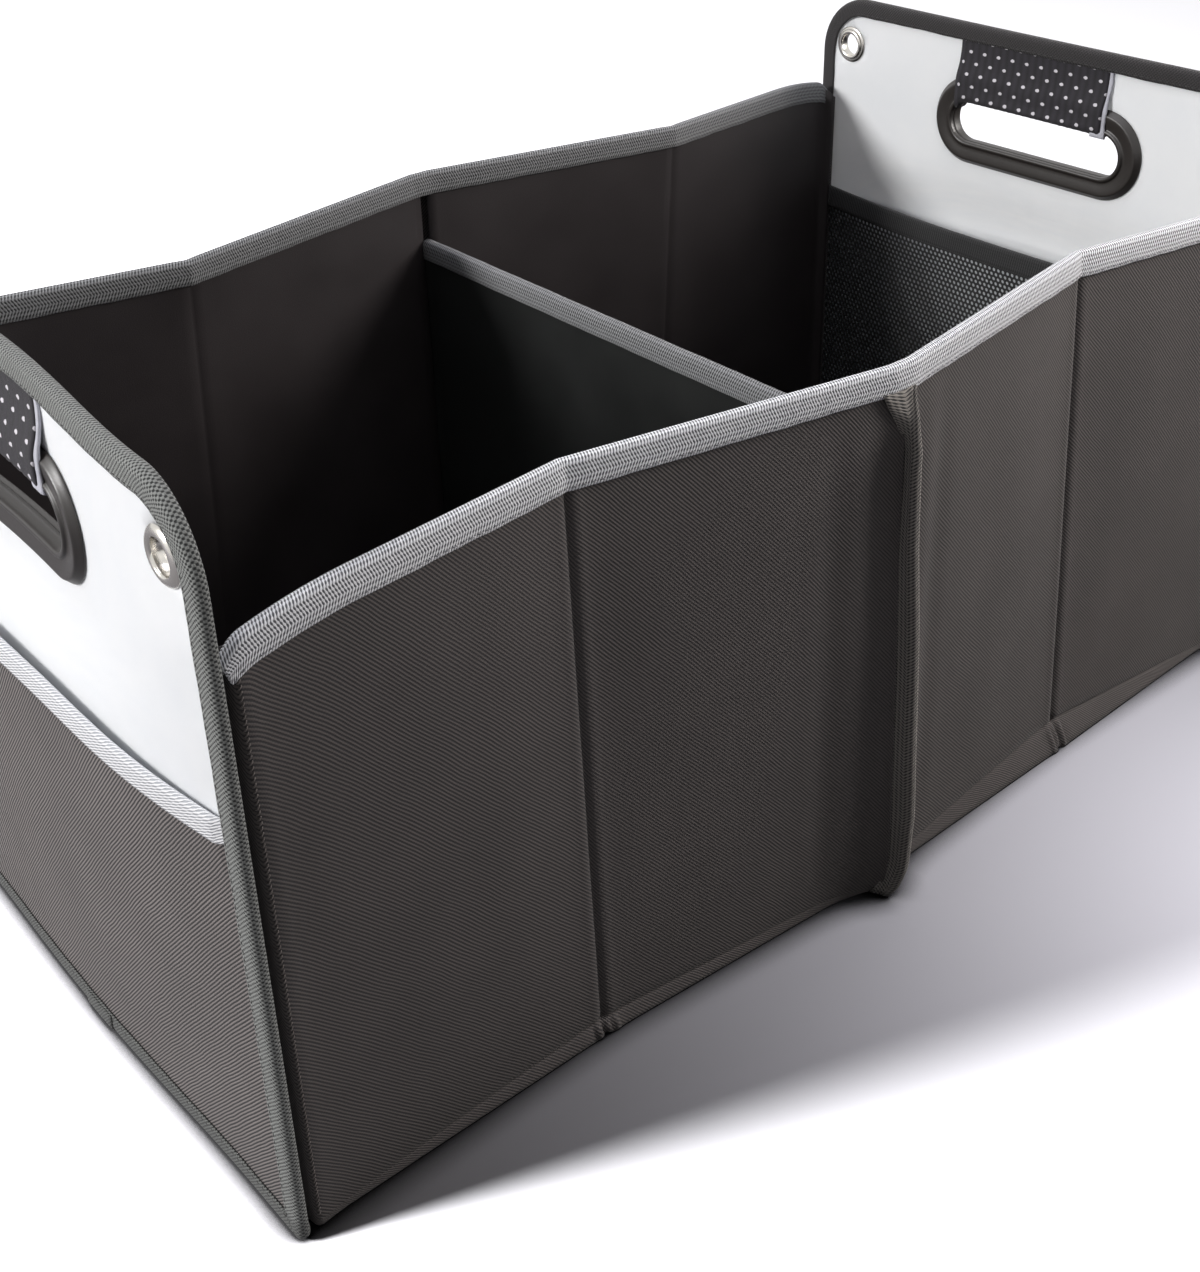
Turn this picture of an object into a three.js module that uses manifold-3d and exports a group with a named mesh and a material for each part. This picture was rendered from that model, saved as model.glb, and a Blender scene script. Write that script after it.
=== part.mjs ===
// A folding car boot organiser. Two stiff plastic end panels carry the handles, eyelets and pockets, and
// two side walls of cloth over stiffening boards join them. Each wall is creased at its quarter points, so
// that it folds inward when the ends are pushed together. A divider is caught in the walls' centre seams,
// and two loose boards lie on the base cloth. Millimetres, +Z up, +X from the near end to the far end, -Y
// the front wall. The origin is under the middle.

import * as THREE from 'three';
import { mergeVertices } from 'three/addons/utils/BufferGeometryUtils.js';
import Module from 'manifold-3d';

const wasm = await Module();
wasm.setup();

// Overall sizes
const length = 640;
const width = 332;
const wallHeight = 276;
const endHeight = 328;
const dividerHeight = 239;

// Sheet thicknesses, and the gap between layers that lie on each other
const clothThickness = 0.8;
const liningThickness = 0.6;
const boardThickness = 2.4;
const plateThickness = 2;
const tapeThickness = 0.8;
const dividerBoardThickness = 2;
const baseBoardThickness = 3;
const gap = 0.3;

// Edging tapes: how far each one covers the edge it is sewn over
const endTapeLeg = 10;
const wallTapeLeg = 10;
const dividerTapeLeg = 9;
const pocketTapeLeg = 11;

// End panels
const endOverhang = 4;
const topCornerRadius = 35;
const bottomCornerRadius = 4;
const bowTops = { near: 9, far: 1 };
const bowFoot = 3;

// Hand opening, its two-part ring, and the grip sewn round the bar above it
const handLength = 120;
const handHeight = 25;
const handFromTop = 57;
const ringWidth = 13.5;
const ringRise = 3.8;
const ringCollar = 1.7;
const gripLength = 104;
const gripOffset = 5;
const gripThickness = 1.5;

// Eyelets in the end panels' upper corners
const eyeletHole = 6.6;
const eyeletFlange = 11;
const eyeletWall = 0.8;
const eyeletFromSide = 23.5;
const eyeletFromTop = 29;

// Pockets on the outside and the inside of each end panel. The reach is how far the outer one's mouth
// stands out beyond the panel's straight sides. Both open out in a band below the mouth.
const pocketHeight = 201;
const pocketReach = 8;
const meshPocketHeight = 203;
const meshBulge = 12;
const meshThickness = 0.6;
const mouthBandFoot = 30;
const mouthBandTop = 14;

// Walls: the corner groove beside the end panel, and the seam that stands out at the centre
const cornerGap = 14;
const creaseGap = 5;
const cornerDip = 8;
const dipReach = 60;
const centreBulge = 9;
const seamDepth = 9;
const seamLean = 0.6;
const seamTaper = 45;
const boardMargin = 2;
const boardEndGap = 0.5;
const dividerBoardInset = 12;

// Loose boards on the base cloth
const baseBoardWidth = 300;
const baseBoardGap = 2.5;

// Each crease: how far it stands inside the straight line at the floor, at the foot of the board and at the
// top, and how high the foot of the board is there
const frontNearFloor = 5;
const frontFarFloor = -1;
const backFloor = 3;
const creaseFoot = 8;
const frontFarFoot = 7;
const frontNearTop = 22;
const frontFarTop = 25;
const backNearTop = 31;
const backFarTop = 24;
const frontNearRise = 7;
const frontFarRise = 14;
const backRise = 9;
const cornerRise = 3;
const creases = {
  front: {
    near: { floor: frontNearFloor, foot: creaseFoot, top: frontNearTop, rise: frontNearRise },
    far: { floor: frontFarFloor, foot: frontFarFoot, top: frontFarTop, rise: frontFarRise },
  },
  back: {
    near: { floor: backFloor, foot: creaseFoot, top: backNearTop, rise: backRise },
    far: { floor: backFloor, foot: creaseFoot, top: backFarTop, rise: backRise },
  },
};

// Layers of an end panel, as depths from its outer face
const pocketFace = tapeThickness + gap;
const plateFace = pocketFace + clothThickness + gap;
const plateBack = plateFace + plateThickness;
const flangeFace = plateBack + gap;
const flangeBack = flangeFace + clothThickness;
const innerLegFace = flangeBack + gap;
const endThickness = innerLegFace + tapeThickness;
const endHalfWidth = width / 2 + endOverhang;
const handCentre = endHeight - handFromTop;

// Layers of a side wall, as distances from the middle of the organiser
const wallFace = width / 2;
const wallCloth = wallFace - clothThickness / 2;
const wallBoard = wallFace - clothThickness - gap - boardThickness / 2;
const wallLining = wallBoard - boardThickness / 2 - gap - liningThickness / 2;
const wallBack = wallLining - liningThickness / 2;
const centre = length / 2;
const crease = length / 4;

// Layers of the divider and of the centre seam, as distances from the divider's middle
const dividerClothThickness = 0.5;
const dividerFace = dividerBoardThickness / 2 + gap + dividerClothThickness / 2;
const seamFold = gap / 2 + dividerClothThickness / 2;
const seamCloth = seamFold + dividerClothThickness / 2 + gap + clothThickness / 2;
const seamTape = seamCloth + clothThickness / 2 + gap + tapeThickness / 2;
const seamRound = 3;

const lerp = THREE.MathUtils.lerp;
const clamp = THREE.MathUtils.clamp;

// A value that runs in straight lines through the points of a table [[where, value], ...]
function along(table, where) {
  const next = table.findIndex(([at]) => at >= where);
  if (next === 0) return table[0][1];
  if (next < 0) return table[table.length - 1][1];
  const [fromAt, from] = table[next - 1];
  const [toAt, to] = table[next];
  return lerp(from, to, (where - fromAt) / (toAt - fromAt));
}

// Even steps from one value to another, both included
function steps(from, to, count) {
  return Array.from({ length: count + 1 }, (_, i) => lerp(from, to, i / count));
}

// The two sides of a strip of one thickness whose middle follows a line of points [a, b]: the first side
// out and the second side back
function strip(line, thickness) {
  const sides = [[], []];
  line.forEach(([a, b], i) => {
    const before = line[Math.max(i - 1, 0)];
    const after = line[Math.min(i + 1, line.length - 1)];
    const arriving = new THREE.Vector2(a - before[0], b - before[1]).normalize();
    const leaving = new THREE.Vector2(after[0] - a, after[1] - b).normalize();
    if (i === 0) arriving.copy(leaving);
    if (i === line.length - 1) leaving.copy(arriving);
    const middle = arriving.clone().add(leaving).normalize();
    const reach = thickness / 2 / Math.max(middle.dot(leaving), 0.5);
    sides[0].push([a - middle.y * reach, b + middle.x * reach]);
    sides[1].unshift([a + middle.y * reach, b - middle.x * reach]);
  });
  return sides[0].concat(sides[1]);
}

// A closed geometry from corner points and triangles, turned the right way out
function closed(points, triangles) {
  let volume = 0;
  for (const [i, j, k] of triangles) {
    volume += points[i].dot(new THREE.Vector3().crossVectors(points[j], points[k]));
  }
  const faces = volume < 0 ? triangles.map(([i, j, k]) => [i, k, j]) : triangles;
  const geometry = new THREE.BufferGeometry();
  const places = points.flatMap((p) => p.toArray());
  geometry.setAttribute('position', new THREE.Float32BufferAttribute(places, 3));
  geometry.setIndex(faces.flat());
  return geometry;
}

// A skin over a row of sections. In each section the first half of the points is one side of a strip and
// the second half the other side, coming back. An open row ends in flat caps, and a looped row joins its
// last section to its first.
function loft(sections, looped = false) {
  const count = sections[0].length;
  const half = count / 2;
  const triangles = [];
  const rows = looped ? sections.length : sections.length - 1;
  for (let row = 0; row < rows; row += 1) {
    const here = row * count;
    const next = ((row + 1) % sections.length) * count;
    for (let i = 0; i < count; i += 1) {
      const j = (i + 1) % count;
      if (i < half) triangles.push([here + i, here + j, next + j], [here + i, next + j, next + i]);
      else triangles.push([here + i, here + j, next + i], [here + j, next + j, next + i]);
    }
  }
  if (!looped) {
    for (const [start, turned] of [[0, true], [(sections.length - 1) * count, false]]) {
      for (let i = 0; i < half - 1; i += 1) {
        const quad = [start + i, start + i + 1, start + count - 2 - i, start + count - 1 - i];
        if (turned) quad.reverse();
        triangles.push([quad[0], quad[1], quad[2]], [quad[0], quad[2], quad[3]]);
      }
    }
  }
  return closed(sections.flat(), triangles);
}

function solid(geometry) {
  const bare = geometry.clone();
  for (const name of Object.keys(bare.attributes)) {
    if (name !== 'position') bare.deleteAttribute(name);
  }
  const merged = mergeVertices(bare, 1e-4);
  return new wasm.Manifold(
    new wasm.Mesh({
      numProp: 3,
      vertProperties: new Float32Array(merged.attributes.position.array),
      triVerts: new Uint32Array(merged.index.array),
    }),
  );
}

function geometryOf(body) {
  const { vertProperties, triVerts } = body.getMesh();
  const geometry = new THREE.BufferGeometry();
  geometry.setAttribute('position', new THREE.Float32BufferAttribute(vertProperties, 3));
  geometry.setIndex(Array.from(triVerts));
  return geometry;
}

const organiser = new THREE.Group();

function add(name, geometry, material) {
  const mesh = new THREE.Mesh(geometry, material);
  mesh.name = name;
  organiser.add(mesh);
}

const twill = new THREE.MeshStandardMaterial({ color: 0x45403f, roughness: 0.9, metalness: 0 });
const coatedLining = new THREE.MeshStandardMaterial({ color: 0x1d1b1b, roughness: 0.55, metalness: 0 });
const board = new THREE.MeshStandardMaterial({ color: 0x8d8478, roughness: 0.95, metalness: 0 });
const frostedPlastic = new THREE.MeshStandardMaterial({ color: 0xe9ecef, roughness: 0.45, metalness: 0 });
const greyTape = new THREE.MeshStandardMaterial({ color: 0x5d6060, roughness: 0.9, metalness: 0 });
const paleTape = new THREE.MeshStandardMaterial({ color: 0x9c9ca0, roughness: 0.85, metalness: 0 });
const blackTape = new THREE.MeshStandardMaterial({ color: 0x1a1a1b, roughness: 0.9, metalness: 0 });
const blackPlastic = new THREE.MeshStandardMaterial({ color: 0x262524, roughness: 0.45, metalness: 0 });
const gripCloth = new THREE.MeshStandardMaterial({ color: 0x27252c, roughness: 0.9, metalness: 0 });
const meshCloth = new THREE.MeshStandardMaterial({ color: 0x151515, roughness: 0.9, metalness: 0 });
const nickel = new THREE.MeshStandardMaterial({ color: 0xc9c6c0, roughness: 0.2, metalness: 1 });

const ends = [['near', -1], ['far', 1]];
const sides = [['front', -1], ['back', 1]];

// The end panels are pushed in at the top and out at the foot, most of all in the middle, and the near one
// more than the far one. The strip beside the walls stays straight.
const bowHalfWidth = endHalfWidth - eyeletFromSide - eyeletFlange;
function bow(end, y, z) {
  const across = Math.max(0, 1 - (y / bowHalfWidth) ** 2) ** 2;
  return across * lerp(-bowFoot, end < 0 ? bowTops.near : bowTops.far, z / endHeight);
}

function endPoint(end, depth, y, z) {
  return new THREE.Vector3(end * (length / 2 - depth - bow(end, y, z)), y, z);
}

// Places across an end panel: the same ones for every layer, so that the layers keep their distance along
// the bow
function acrossEnd(half) {
  return [-half, ...steps(-bowHalfWidth, bowHalfWidth, 12), half];
}

// The end panel's outline moved in by an inset, as places with the direction that points into the panel
function outline(inset) {
  const half = endHalfWidth - inset;
  const top = topCornerRadius - inset;
  const foot = bottomCornerRadius - inset;
  const places = [];
  const arc = (y, z, radius, from, count) => {
    for (const angle of steps(from, from + Math.PI / 2, count)) {
      const out = [Math.cos(angle), Math.sin(angle)];
      places.push({ y: y + radius * out[0], z: z + radius * out[1], into: [-out[0], -out[1]] });
    }
  };

  const high = endHeight - inset - top;
  const low = inset + foot;
  const bowed = steps(bowHalfWidth, -bowHalfWidth, 12);
  arc(half - top, high, top, 0, 6);
  bowed.slice(1, -1).forEach((y) => places.push({ y, z: endHeight - inset, into: [0, -1] }));
  arc(top - half, high, top, Math.PI / 2, 6);
  arc(foot - half, low, foot, Math.PI, 2);
  bowed.reverse().forEach((y) => places.push({ y, z: inset, into: [0, 1] }));
  arc(half - foot, low, foot, 1.5 * Math.PI, 2);
  return places;
}

// The hand opening's edge, as places with the direction that points away from the opening
function handEdge() {
  const radius = handHeight / 2;
  const straight = handLength / 2 - radius;
  const places = [];
  for (const [side, from] of [[1, -Math.PI / 2], [-1, Math.PI / 2]]) {
    for (const angle of steps(from, from + Math.PI, 7)) {
      const away = [Math.cos(angle), Math.sin(angle)];
      places.push({ y: side * straight + radius * away[0], z: handCentre + radius * away[1], away });
    }
    for (const t of steps(0, 1, 4).slice(1, -1)) {
      const y = side * lerp(straight, -straight, t);
      places.push({ y, z: handCentre + side * radius, away: [0, side] });
    }
  }
  return places;
}

// A prism through the end panel, from a loop of places in the panel's plane
function prism(places) {
  const shape = new THREE.Shape(places.map(({ y, z }) => new THREE.Vector2(y, z)));
  const depth = 12 * endThickness;
  const geometry = new THREE.ExtrudeGeometry(shape, { depth, bevelEnabled: false });
  geometry.translate(0, 0, -depth / 2);
  const axes = [[0, 1, 0], [0, 0, 1], [1, 0, 0]].map((axis) => new THREE.Vector3(...axis));
  geometry.applyMatrix4(new THREE.Matrix4().makeBasis(...axes));
  return geometry;
}

const eyeletY = endHalfWidth - eyeletFromSide;
const eyeletZ = endHeight - eyeletFromTop;
const eyeletBarrel = eyeletHole + eyeletWall;

// Plastic sheet, cut out for the hand opening and the two eyelets
function endPlate(end) {
  const rows = steps(0, endHeight, 6);
  const sections = rows.map((z) => {
    const places = acrossEnd(endHalfWidth);
    const face = places.map((y) => endPoint(end, plateFace, y, z));
    const back = places.map((y) => endPoint(end, plateBack, y, z)).reverse();
    return face.concat(back);
  });
  const place = end * length / 2;
  const trim = prism(outline(tapeThickness + gap)).translate(place, 0, 0);
  const trimmed = solid(loft(sections)).intersect(solid(trim));
  const handRoom = ringCollar * 2 + gap * 2;
  const hand = handEdge().map(({ y, z, away }) => (
    { y: y + away[0] * handRoom, z: z + away[1] * handRoom }));
  let plate = trimmed.subtract(solid(prism(hand).translate(place, 0, 0)));
  for (const y of [-eyeletY, eyeletY]) {
    const drill = new THREE.CylinderGeometry(eyeletBarrel + gap, eyeletBarrel + gap, 8 * endThickness, 20);
    drill.rotateZ(Math.PI / 2).translate(place, y, eyeletZ);
    plate = plate.subtract(solid(drill));
  }
  return geometryOf(plate);
}

// Tape folded round the whole edge of the end panel and over the edges of the wall and the pocket
function endEdging(end) {
  const round = tapeThickness * 0.8;
  const section = [
    [endTapeLeg, 0], [round, 0], [0, round], [0, endThickness - round], [round, endThickness],
    [endTapeLeg, endThickness], [endTapeLeg, innerLegFace], [tapeThickness, innerLegFace],
    [tapeThickness, tapeThickness], [endTapeLeg, tapeThickness],
  ];
  const sections = outline(0).map(({ y, z, into }) =>
    section.map(([inward, depth]) => endPoint(end, depth, y + into[0] * inward, z + into[1] * inward)));
  return loft(sections, true);
}

// The outer half of the ring: a domed flange on the panel and a collar that passes through the opening
const ringSection = [
  [0, plateBack + 1], [0, plateFace - gap - ringRise * 0.45],
  [ringWidth * 0.1, plateFace - gap - ringRise * 0.8],
  [ringWidth * 0.32, plateFace - gap - ringRise], [ringWidth * 0.75, plateFace - gap - ringRise * 0.9],
  [ringWidth * 0.96, plateFace - gap - ringRise * 0.5], [ringWidth, plateFace - gap],
  [ringCollar, plateFace - gap], [ringCollar, plateBack], [ringCollar, plateBack + 1],
];

// The inner half: the same flange turned round, with a collar that slips over the outer one and a lip that
// hides its end
const ringTurn = plateFace + plateBack;
const collarFace = ringCollar + gap;
const innerRingSection = [
  [0, plateBack + 1 + gap], [0, ringTurn - plateFace + gap + ringRise * 0.45],
  [ringWidth * 0.1, ringTurn - plateFace + gap + ringRise * 0.8],
  [ringWidth * 0.32, ringTurn - plateFace + gap + ringRise],
  [ringWidth * 0.75, ringTurn - plateFace + gap + ringRise * 0.9],
  [ringWidth * 0.96, ringTurn - plateFace + gap + ringRise * 0.5], [ringWidth, plateBack + gap],
  [collarFace + ringCollar, plateBack + gap], [collarFace + ringCollar, plateFace + 0.1],
  [collarFace, plateFace + 0.1], [collarFace, plateBack + 1 - gap], [collarFace, plateBack + 1 + gap],
];

function handRing(end, section) {
  const sections = handEdge().map(({ y, z, away }) =>
    section.map(([outward, depth]) => endPoint(end, depth, y + away[0] * outward, z + away[1] * outward)));
  return loft(sections, true);
}

// Padded cloth wrapped under the ring's upper bar, its two edges caught under the panel's edging
function grip(end) {
  const middle = (plateFace + plateBack) / 2;
  const wide = middle - (plateFace - gap - ringRise) + gap + gripThickness / 2;
  const narrow = plateThickness / 2 + gap + gripThickness / 2;
  const round = handHeight / 2 - gap - gripThickness / 2;
  const straight = (handLength - handHeight) / 2;
  const high = endHeight - endTapeLeg - gap;
  const ringTop = handCentre + handHeight / 2 + ringWidth;
  const places = steps(gripOffset - gripLength / 2, gripOffset + gripLength / 2, 8);
  return loft(places.map((y) => {
    const past = Math.max(0, Math.abs(y) - straight);
    const low = handCentre + Math.sqrt(round ** 2 - past ** 2);
    const side = [
      [narrow, high], [wide, ringTop - 1], [wide, low + 3], [wide - 1.2, low + 0.8], [wide - 3, low],
    ];
    const back = side.map(([w, z]) => [middle + w, z]).reverse();
    const line = side.map(([w, z]) => [middle - w, z]).concat(back);
    return strip(line, gripThickness).map(([depth, z]) => endPoint(end, depth, y, z));
  }));
}

function turned(profile, end, y, segments = 14) {
  const loop = profile.concat([profile[0]]);
  const geometry = new THREE.LatheGeometry(loop.map(([r, d]) => new THREE.Vector2(r, d)), segments);
  geometry.rotateZ(end * Math.PI / 2);
  geometry.translate(end * length / 2, y, eyeletZ);
  for (const name of ['normal', 'uv']) geometry.deleteAttribute(name);
  const merged = mergeVertices(geometry, 1e-4);
  const points = Array.from({ length: merged.attributes.position.count }, (_, i) =>
    new THREE.Vector3().fromBufferAttribute(merged.attributes.position, i));
  const corners = Array.from(merged.index.array);
  const triangles = [];
  for (let i = 0; i < corners.length; i += 3) {
    const [a, b, c] = corners.slice(i, i + 3);
    if (a !== b && b !== c && c !== a) triangles.push([a, b, c]);
  }
  return closed(points, triangles);
}

// Pressed eyelet: a domed flange outside, a barrel through the panel and a lip rolled over the washer inside
const washerFace = plateBack + gap;
const washerBack = washerFace + eyeletWall;
const eyeletProfile = [
  [eyeletHole, plateFace - gap - eyeletWall], [eyeletHole, washerBack + gap + 0.2],
  [eyeletHole + 1.2, washerBack + gap + 0.9], [eyeletHole + 2.5, washerBack + gap],
  [eyeletBarrel, washerBack + gap], [eyeletBarrel, plateFace - gap],
  [eyeletFlange, plateFace - gap], [eyeletFlange - 0.3, plateFace - gap - 1],
  [(eyeletHole + eyeletFlange) / 2, plateFace - gap - 2], [eyeletHole + 0.7, plateFace - gap - 1.6],
];
const washerProfile = [
  [eyeletBarrel + gap, washerFace], [eyeletFlange, washerFace], [eyeletFlange, washerFace + eyeletWall / 2],
  [eyeletFlange - 2, washerBack], [eyeletBarrel + gap, washerBack],
];

// How far a pocket stands off the panel: flat where it is sewn at the sides and foot, widest at its mouth,
// where the tape folded over its edge also holds it off
const mouthHalf = endHalfWidth - endTapeLeg - 2.4;
function bulge(y, z, height, amount) {
  const across = Math.max(0, 1 - (y / mouthHalf) ** 2);
  const up = clamp((z - endTapeLeg - 4) / (height - endTapeLeg - 4), 0, 1);
  const band = clamp((z - height + mouthBandFoot) / (mouthBandFoot - mouthBandTop), 0, 1);
  const mouth = Math.abs(y) > mouthHalf ? 0 : band;
  return amount * across * Math.sin(up * Math.PI / 2) + mouth * (tapeThickness + gap * 2);
}

// A sheet of cloth sewn on a panel as a pocket. The way is -1 on the outside of the panel and 1 on the
// inside.
function pocket(end, { half, height, face, thickness, amount, way }) {
  const sewn = half > mouthHalf ? [half, endHalfWidth - endTapeLeg - gap] : [];
  const places = [...sewn.map((y) => -y), ...acrossEnd(mouthHalf), ...sewn.reverse()];
  const body = steps(endTapeLeg + 4, height - mouthBandFoot, 2);
  const levels = [tapeThickness * 3, ...body, height - mouthBandTop, height];
  const sections = levels.map((z) => {
    const at = (depth) => places.map((y) => endPoint(end, depth + way * bulge(y, z, height, amount), y, z));
    return at(face).concat(at(face + thickness).reverse());
  });
  return loft(sections);
}

// Tape folded over a pocket's mouth
function pocketTape(end, { height, face, thickness, amount, way }) {
  const line = [
    [face - gap - tapeThickness / 2, height - pocketTapeLeg], [face - gap - tapeThickness / 2, height + gap],
    [face + thickness / 2, height + tapeThickness * 2],
    [face + thickness + gap + tapeThickness / 2, height + gap],
    [face + thickness + gap + tapeThickness / 2, height - pocketTapeLeg],
  ];
  const section = strip(line, tapeThickness);
  const sections = acrossEnd(mouthHalf).map((y) => section.map(([depth, z]) =>
    endPoint(end, depth + way * bulge(y, z, height, amount), y, z)));
  return loft(sections);
}

const outerPocket = (end) => ({
  half: endHalfWidth - tapeThickness - gap - 2,
  height: pocketHeight,
  face: pocketFace,
  thickness: clothThickness,
  amount: pocketReach + bow(end, 0, pocketHeight),
  way: -1,
});
const meshPocket = {
  half: mouthHalf,
  height: meshPocketHeight,
  face: flangeFace,
  thickness: meshThickness,
  amount: meshBulge,
  way: 1,
};

for (const [endName, end] of ends) {
  add(`${endName}_end_plate`, endPlate(end), frostedPlastic);
  add(`${endName}_end_edging`, endEdging(end), greyTape);
  add(`${endName}_handle_ring_outer`, handRing(end, ringSection), blackPlastic);
  add(`${endName}_handle_ring_inner`, handRing(end, innerRingSection), blackPlastic);
  add(`${endName}_handle_grip`, grip(end), gripCloth);
  add(`${endName}_outer_pocket`, pocket(end, outerPocket(end)), twill);
  add(`${endName}_outer_pocket_tape`, pocketTape(end, outerPocket(end)), paleTape);
  add(`${endName}_mesh_pocket`, pocket(end, meshPocket), meshCloth);
  add(`${endName}_mesh_pocket_tape`, pocketTape(end, meshPocket), blackTape);
  for (const [sideName, side] of sides) {
    add(`${endName}_${sideName}_eyelet`, turned(eyeletProfile, end, side * eyeletY), nickel);
    add(`${endName}_${sideName}_eyelet_washer`, turned(washerProfile, end, side * eyeletY), nickel);
  }
}

// The wall's top edge dips beside the end panels, where it is drawn down into the corner seam
function wallTop(u) {
  const t = clamp(u / dipReach, 0, 1);
  return wallHeight - cornerDip * (1 - t) ** 2;
}

// 0 at the corner and the centre, 1 at the crease; u is the distance from the end's outer face
function tent(u) {
  return along([[cornerGap, 0], [crease, 1], [centre - seamRound, 0]], u);
}

function boardFoot(fold, u) {
  return lerp(cornerRise, fold.rise, tent(u));
}

// How far the wall stands inside its straight line
function inset(fold, u, z) {
  const foot = boardFoot(fold, u);
  const shift = tent(u) * along([[0, fold.floor], [foot, fold.foot], [wallTop(u), fold.top]], z);
  return shift - along([[cornerGap, 0], [centre - seamRound, centreBulge]], u);
}

function wallPoint(end, side, u, v, z) {
  const fold = creases[side < 0 ? 'front' : 'back'][end < 0 ? 'near' : 'far'];
  const lean = u > centre - 2 * seamRound ? seamLean * Math.max(0, v - wallFace) : 0;
  return new THREE.Vector3(end * (length / 2 - u) + lean, side * (v - inset(fold, u, z)), z);
}

// Places along one half of a wall between its corner and its centre seam
const nearCrease = crease - creaseGap;
const pastCrease = crease + creaseGap;
const nearPanel = steps(cornerGap + 1, nearCrease, 3);
const farPanel = steps(pastCrease, centre - 2 * seamRound, 3);

// Where the cloth hooks round the inner leg of the end panel's edging, and its slope out to the wall's face
const hookV = endHalfWidth - endTapeLeg - gap - clothThickness / 2;
const hookU = endThickness + gap + clothThickness / 2;
const slopeU = lerp(hookU, cornerGap, 0.5);
const slopeV = lerp(hookV, wallCloth, 0.78);

function clothLine(turn) {
  const root = centre - seamRound;
  return [
    [flangeFace + clothThickness / 2, endHalfWidth - tapeThickness - gap - 2],
    [flangeFace + clothThickness / 2, hookV],
    [hookU, hookV],
    [slopeU, slopeV],
    [cornerGap, wallCloth],
    ...nearPanel.map((u) => [u, wallCloth]),
    [crease, wallCloth - (boardThickness + gap * 2 - gap) / 2],
    ...farPanel.map((u) => [u, wallCloth]),
    [lerp(root, centre - seamCloth, 0.3), lerp(wallCloth, wallCloth + 0.3, turn)],
    [lerp(root + 0.9, centre - seamCloth, turn), lerp(wallCloth, wallCloth + 1.6, turn)],
    [lerp(root + 1.5, centre - seamCloth, turn), lerp(wallCloth, wallCloth + seamDepth, turn)],
  ];
}

function liningLine() {
  const clear = clothThickness / 2 + gap + liningThickness / 2;
  const slope = new THREE.Vector2(slopeU - hookU, slopeV - hookV).normalize();
  const start = [hookU + slope.y * clear, hookV - slope.x * clear];
  const meet = start[0] + (wallLining - start[1]) * slope.x / slope.y;
  return [
    start,
    [meet, wallLining],
    [cornerGap, wallLining],
    ...nearPanel.map((u) => [u, wallLining]),
    [crease, wallLining + (boardThickness + gap * 2 - gap) / 2],
    ...farPanel.map((u) => [u, wallLining]),
    [centre - dividerFace - dividerClothThickness / 2 - gap, wallLining],
  ];
}

function wallLevels(fold, from) {
  return [
    (u) => (u < hookU + clothThickness ? endTapeLeg + gap * 2 : from),
    (u) => (u < hookU + clothThickness ? endTapeLeg + 2 : boardFoot(fold, u)),
    (u) => wallTop(u) - seamTaper,
    (u) => wallTop(u) - wallTapeLeg - 1.5,
    (u) => wallTop(u),
  ];
}

function wallSheet(end, side, lineAt, thickness, from) {
  const fold = creases[side < 0 ? 'front' : 'back'][end < 0 ? 'near' : 'far'];
  const sections = wallLevels(fold, from).map((level, i, levels) => {
    const turn = i < levels.length - 2 ? 1 : 0;
    return strip(lineAt(turn), thickness).map(([u, v]) => wallPoint(end, side, u, v, level(u)));
  });
  return loft(sections);
}

function wallBoardPanel(end, side, places) {
  const fold = creases[side < 0 ? 'front' : 'back'][end < 0 ? 'near' : 'far'];
  const levels = [
    (u) => boardFoot(fold, u) + boardMargin,
    (u) => wallTop(u) - seamTaper,
    (u) => wallTop(u) - boardMargin,
  ];
  const trimmed = [places[0] + boardEndGap, ...places.slice(1, -1), places.at(-1) - boardEndGap];
  const line = strip(trimmed.map((u) => [u, wallBoard]), boardThickness);
  return loft(levels.map((level) => line.map(([u, v]) => wallPoint(end, side, u, v, level(u)))));
}

// Tape over the wall's top edge, from corner to corner
function wallTopTape(side) {
  const dipPlaces = [cornerGap * 2, (cornerGap * 2 + dipReach) / 2];
  const halfPlaces = [
    slopeU + 0.4, cornerGap + 1, ...dipPlaces, ...nearPanel.slice(1), crease, farPanel[0], farPanel[3],
  ];
  const farPlaces = halfPlaces.map((u) => [1, u]).reverse();
  const places = halfPlaces.map((u) => [-1, u]).concat([[-1, centre]], farPlaces);
  const sections = places.map(([end, u]) => {
    const tuck = along([[slopeU, wallCloth - slopeV - 0.9], [cornerGap, 0]], u);
    const out = wallFace + gap + tapeThickness / 2 - tuck;
    const into = Math.min(wallBack - gap - tapeThickness / 2, out - 3);
    const line = [
      [out, -wallTapeLeg], [out, 0], [out - 0.7, tapeThickness * 1.5],
      [into + 0.7, tapeThickness * 1.5], [into, 0], [into, -wallTapeLeg],
    ];
    return strip(line, tapeThickness).map(([v, rise]) => {
      const point = wallPoint(end, side, Math.min(u, centre - seamRound), v, wallTop(u) + rise);
      point.x = end * (length / 2 - u);
      return point;
    });
  });
  return loft(sections);
}

// Tape folded over the seam that stands out at the wall's centre
function centreSeamTape(side) {
  const line = (reach) => [
    [-seamTape, wallFace + 1.6], [-seamTape, wallFace + reach * 0.6], [-seamTape, wallFace + reach - 0.3],
    [-seamTape * 0.5, wallFace + reach + gap + 0.2], [seamTape * 0.5, wallFace + reach + gap + 0.2],
    [seamTape, wallFace + reach - 0.3], [seamTape, wallFace + reach * 0.6], [seamTape, wallFace + 1.6],
  ];
  const levels = [
    [0.6, 1], [cornerRise, 1], [wallHeight / 2, 1], [wallHeight - seamTaper, 1],
    [wallHeight - seamTaper + 8, 0.84],
  ];
  const sections = levels.map(([z, share]) => strip(line(seamDepth * share), tapeThickness).map(([x, v]) =>
    new THREE.Vector3(x + seamLean * Math.max(0, v - wallFace), side * (v + centreBulge), z)));
  return loft(sections);
}

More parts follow.
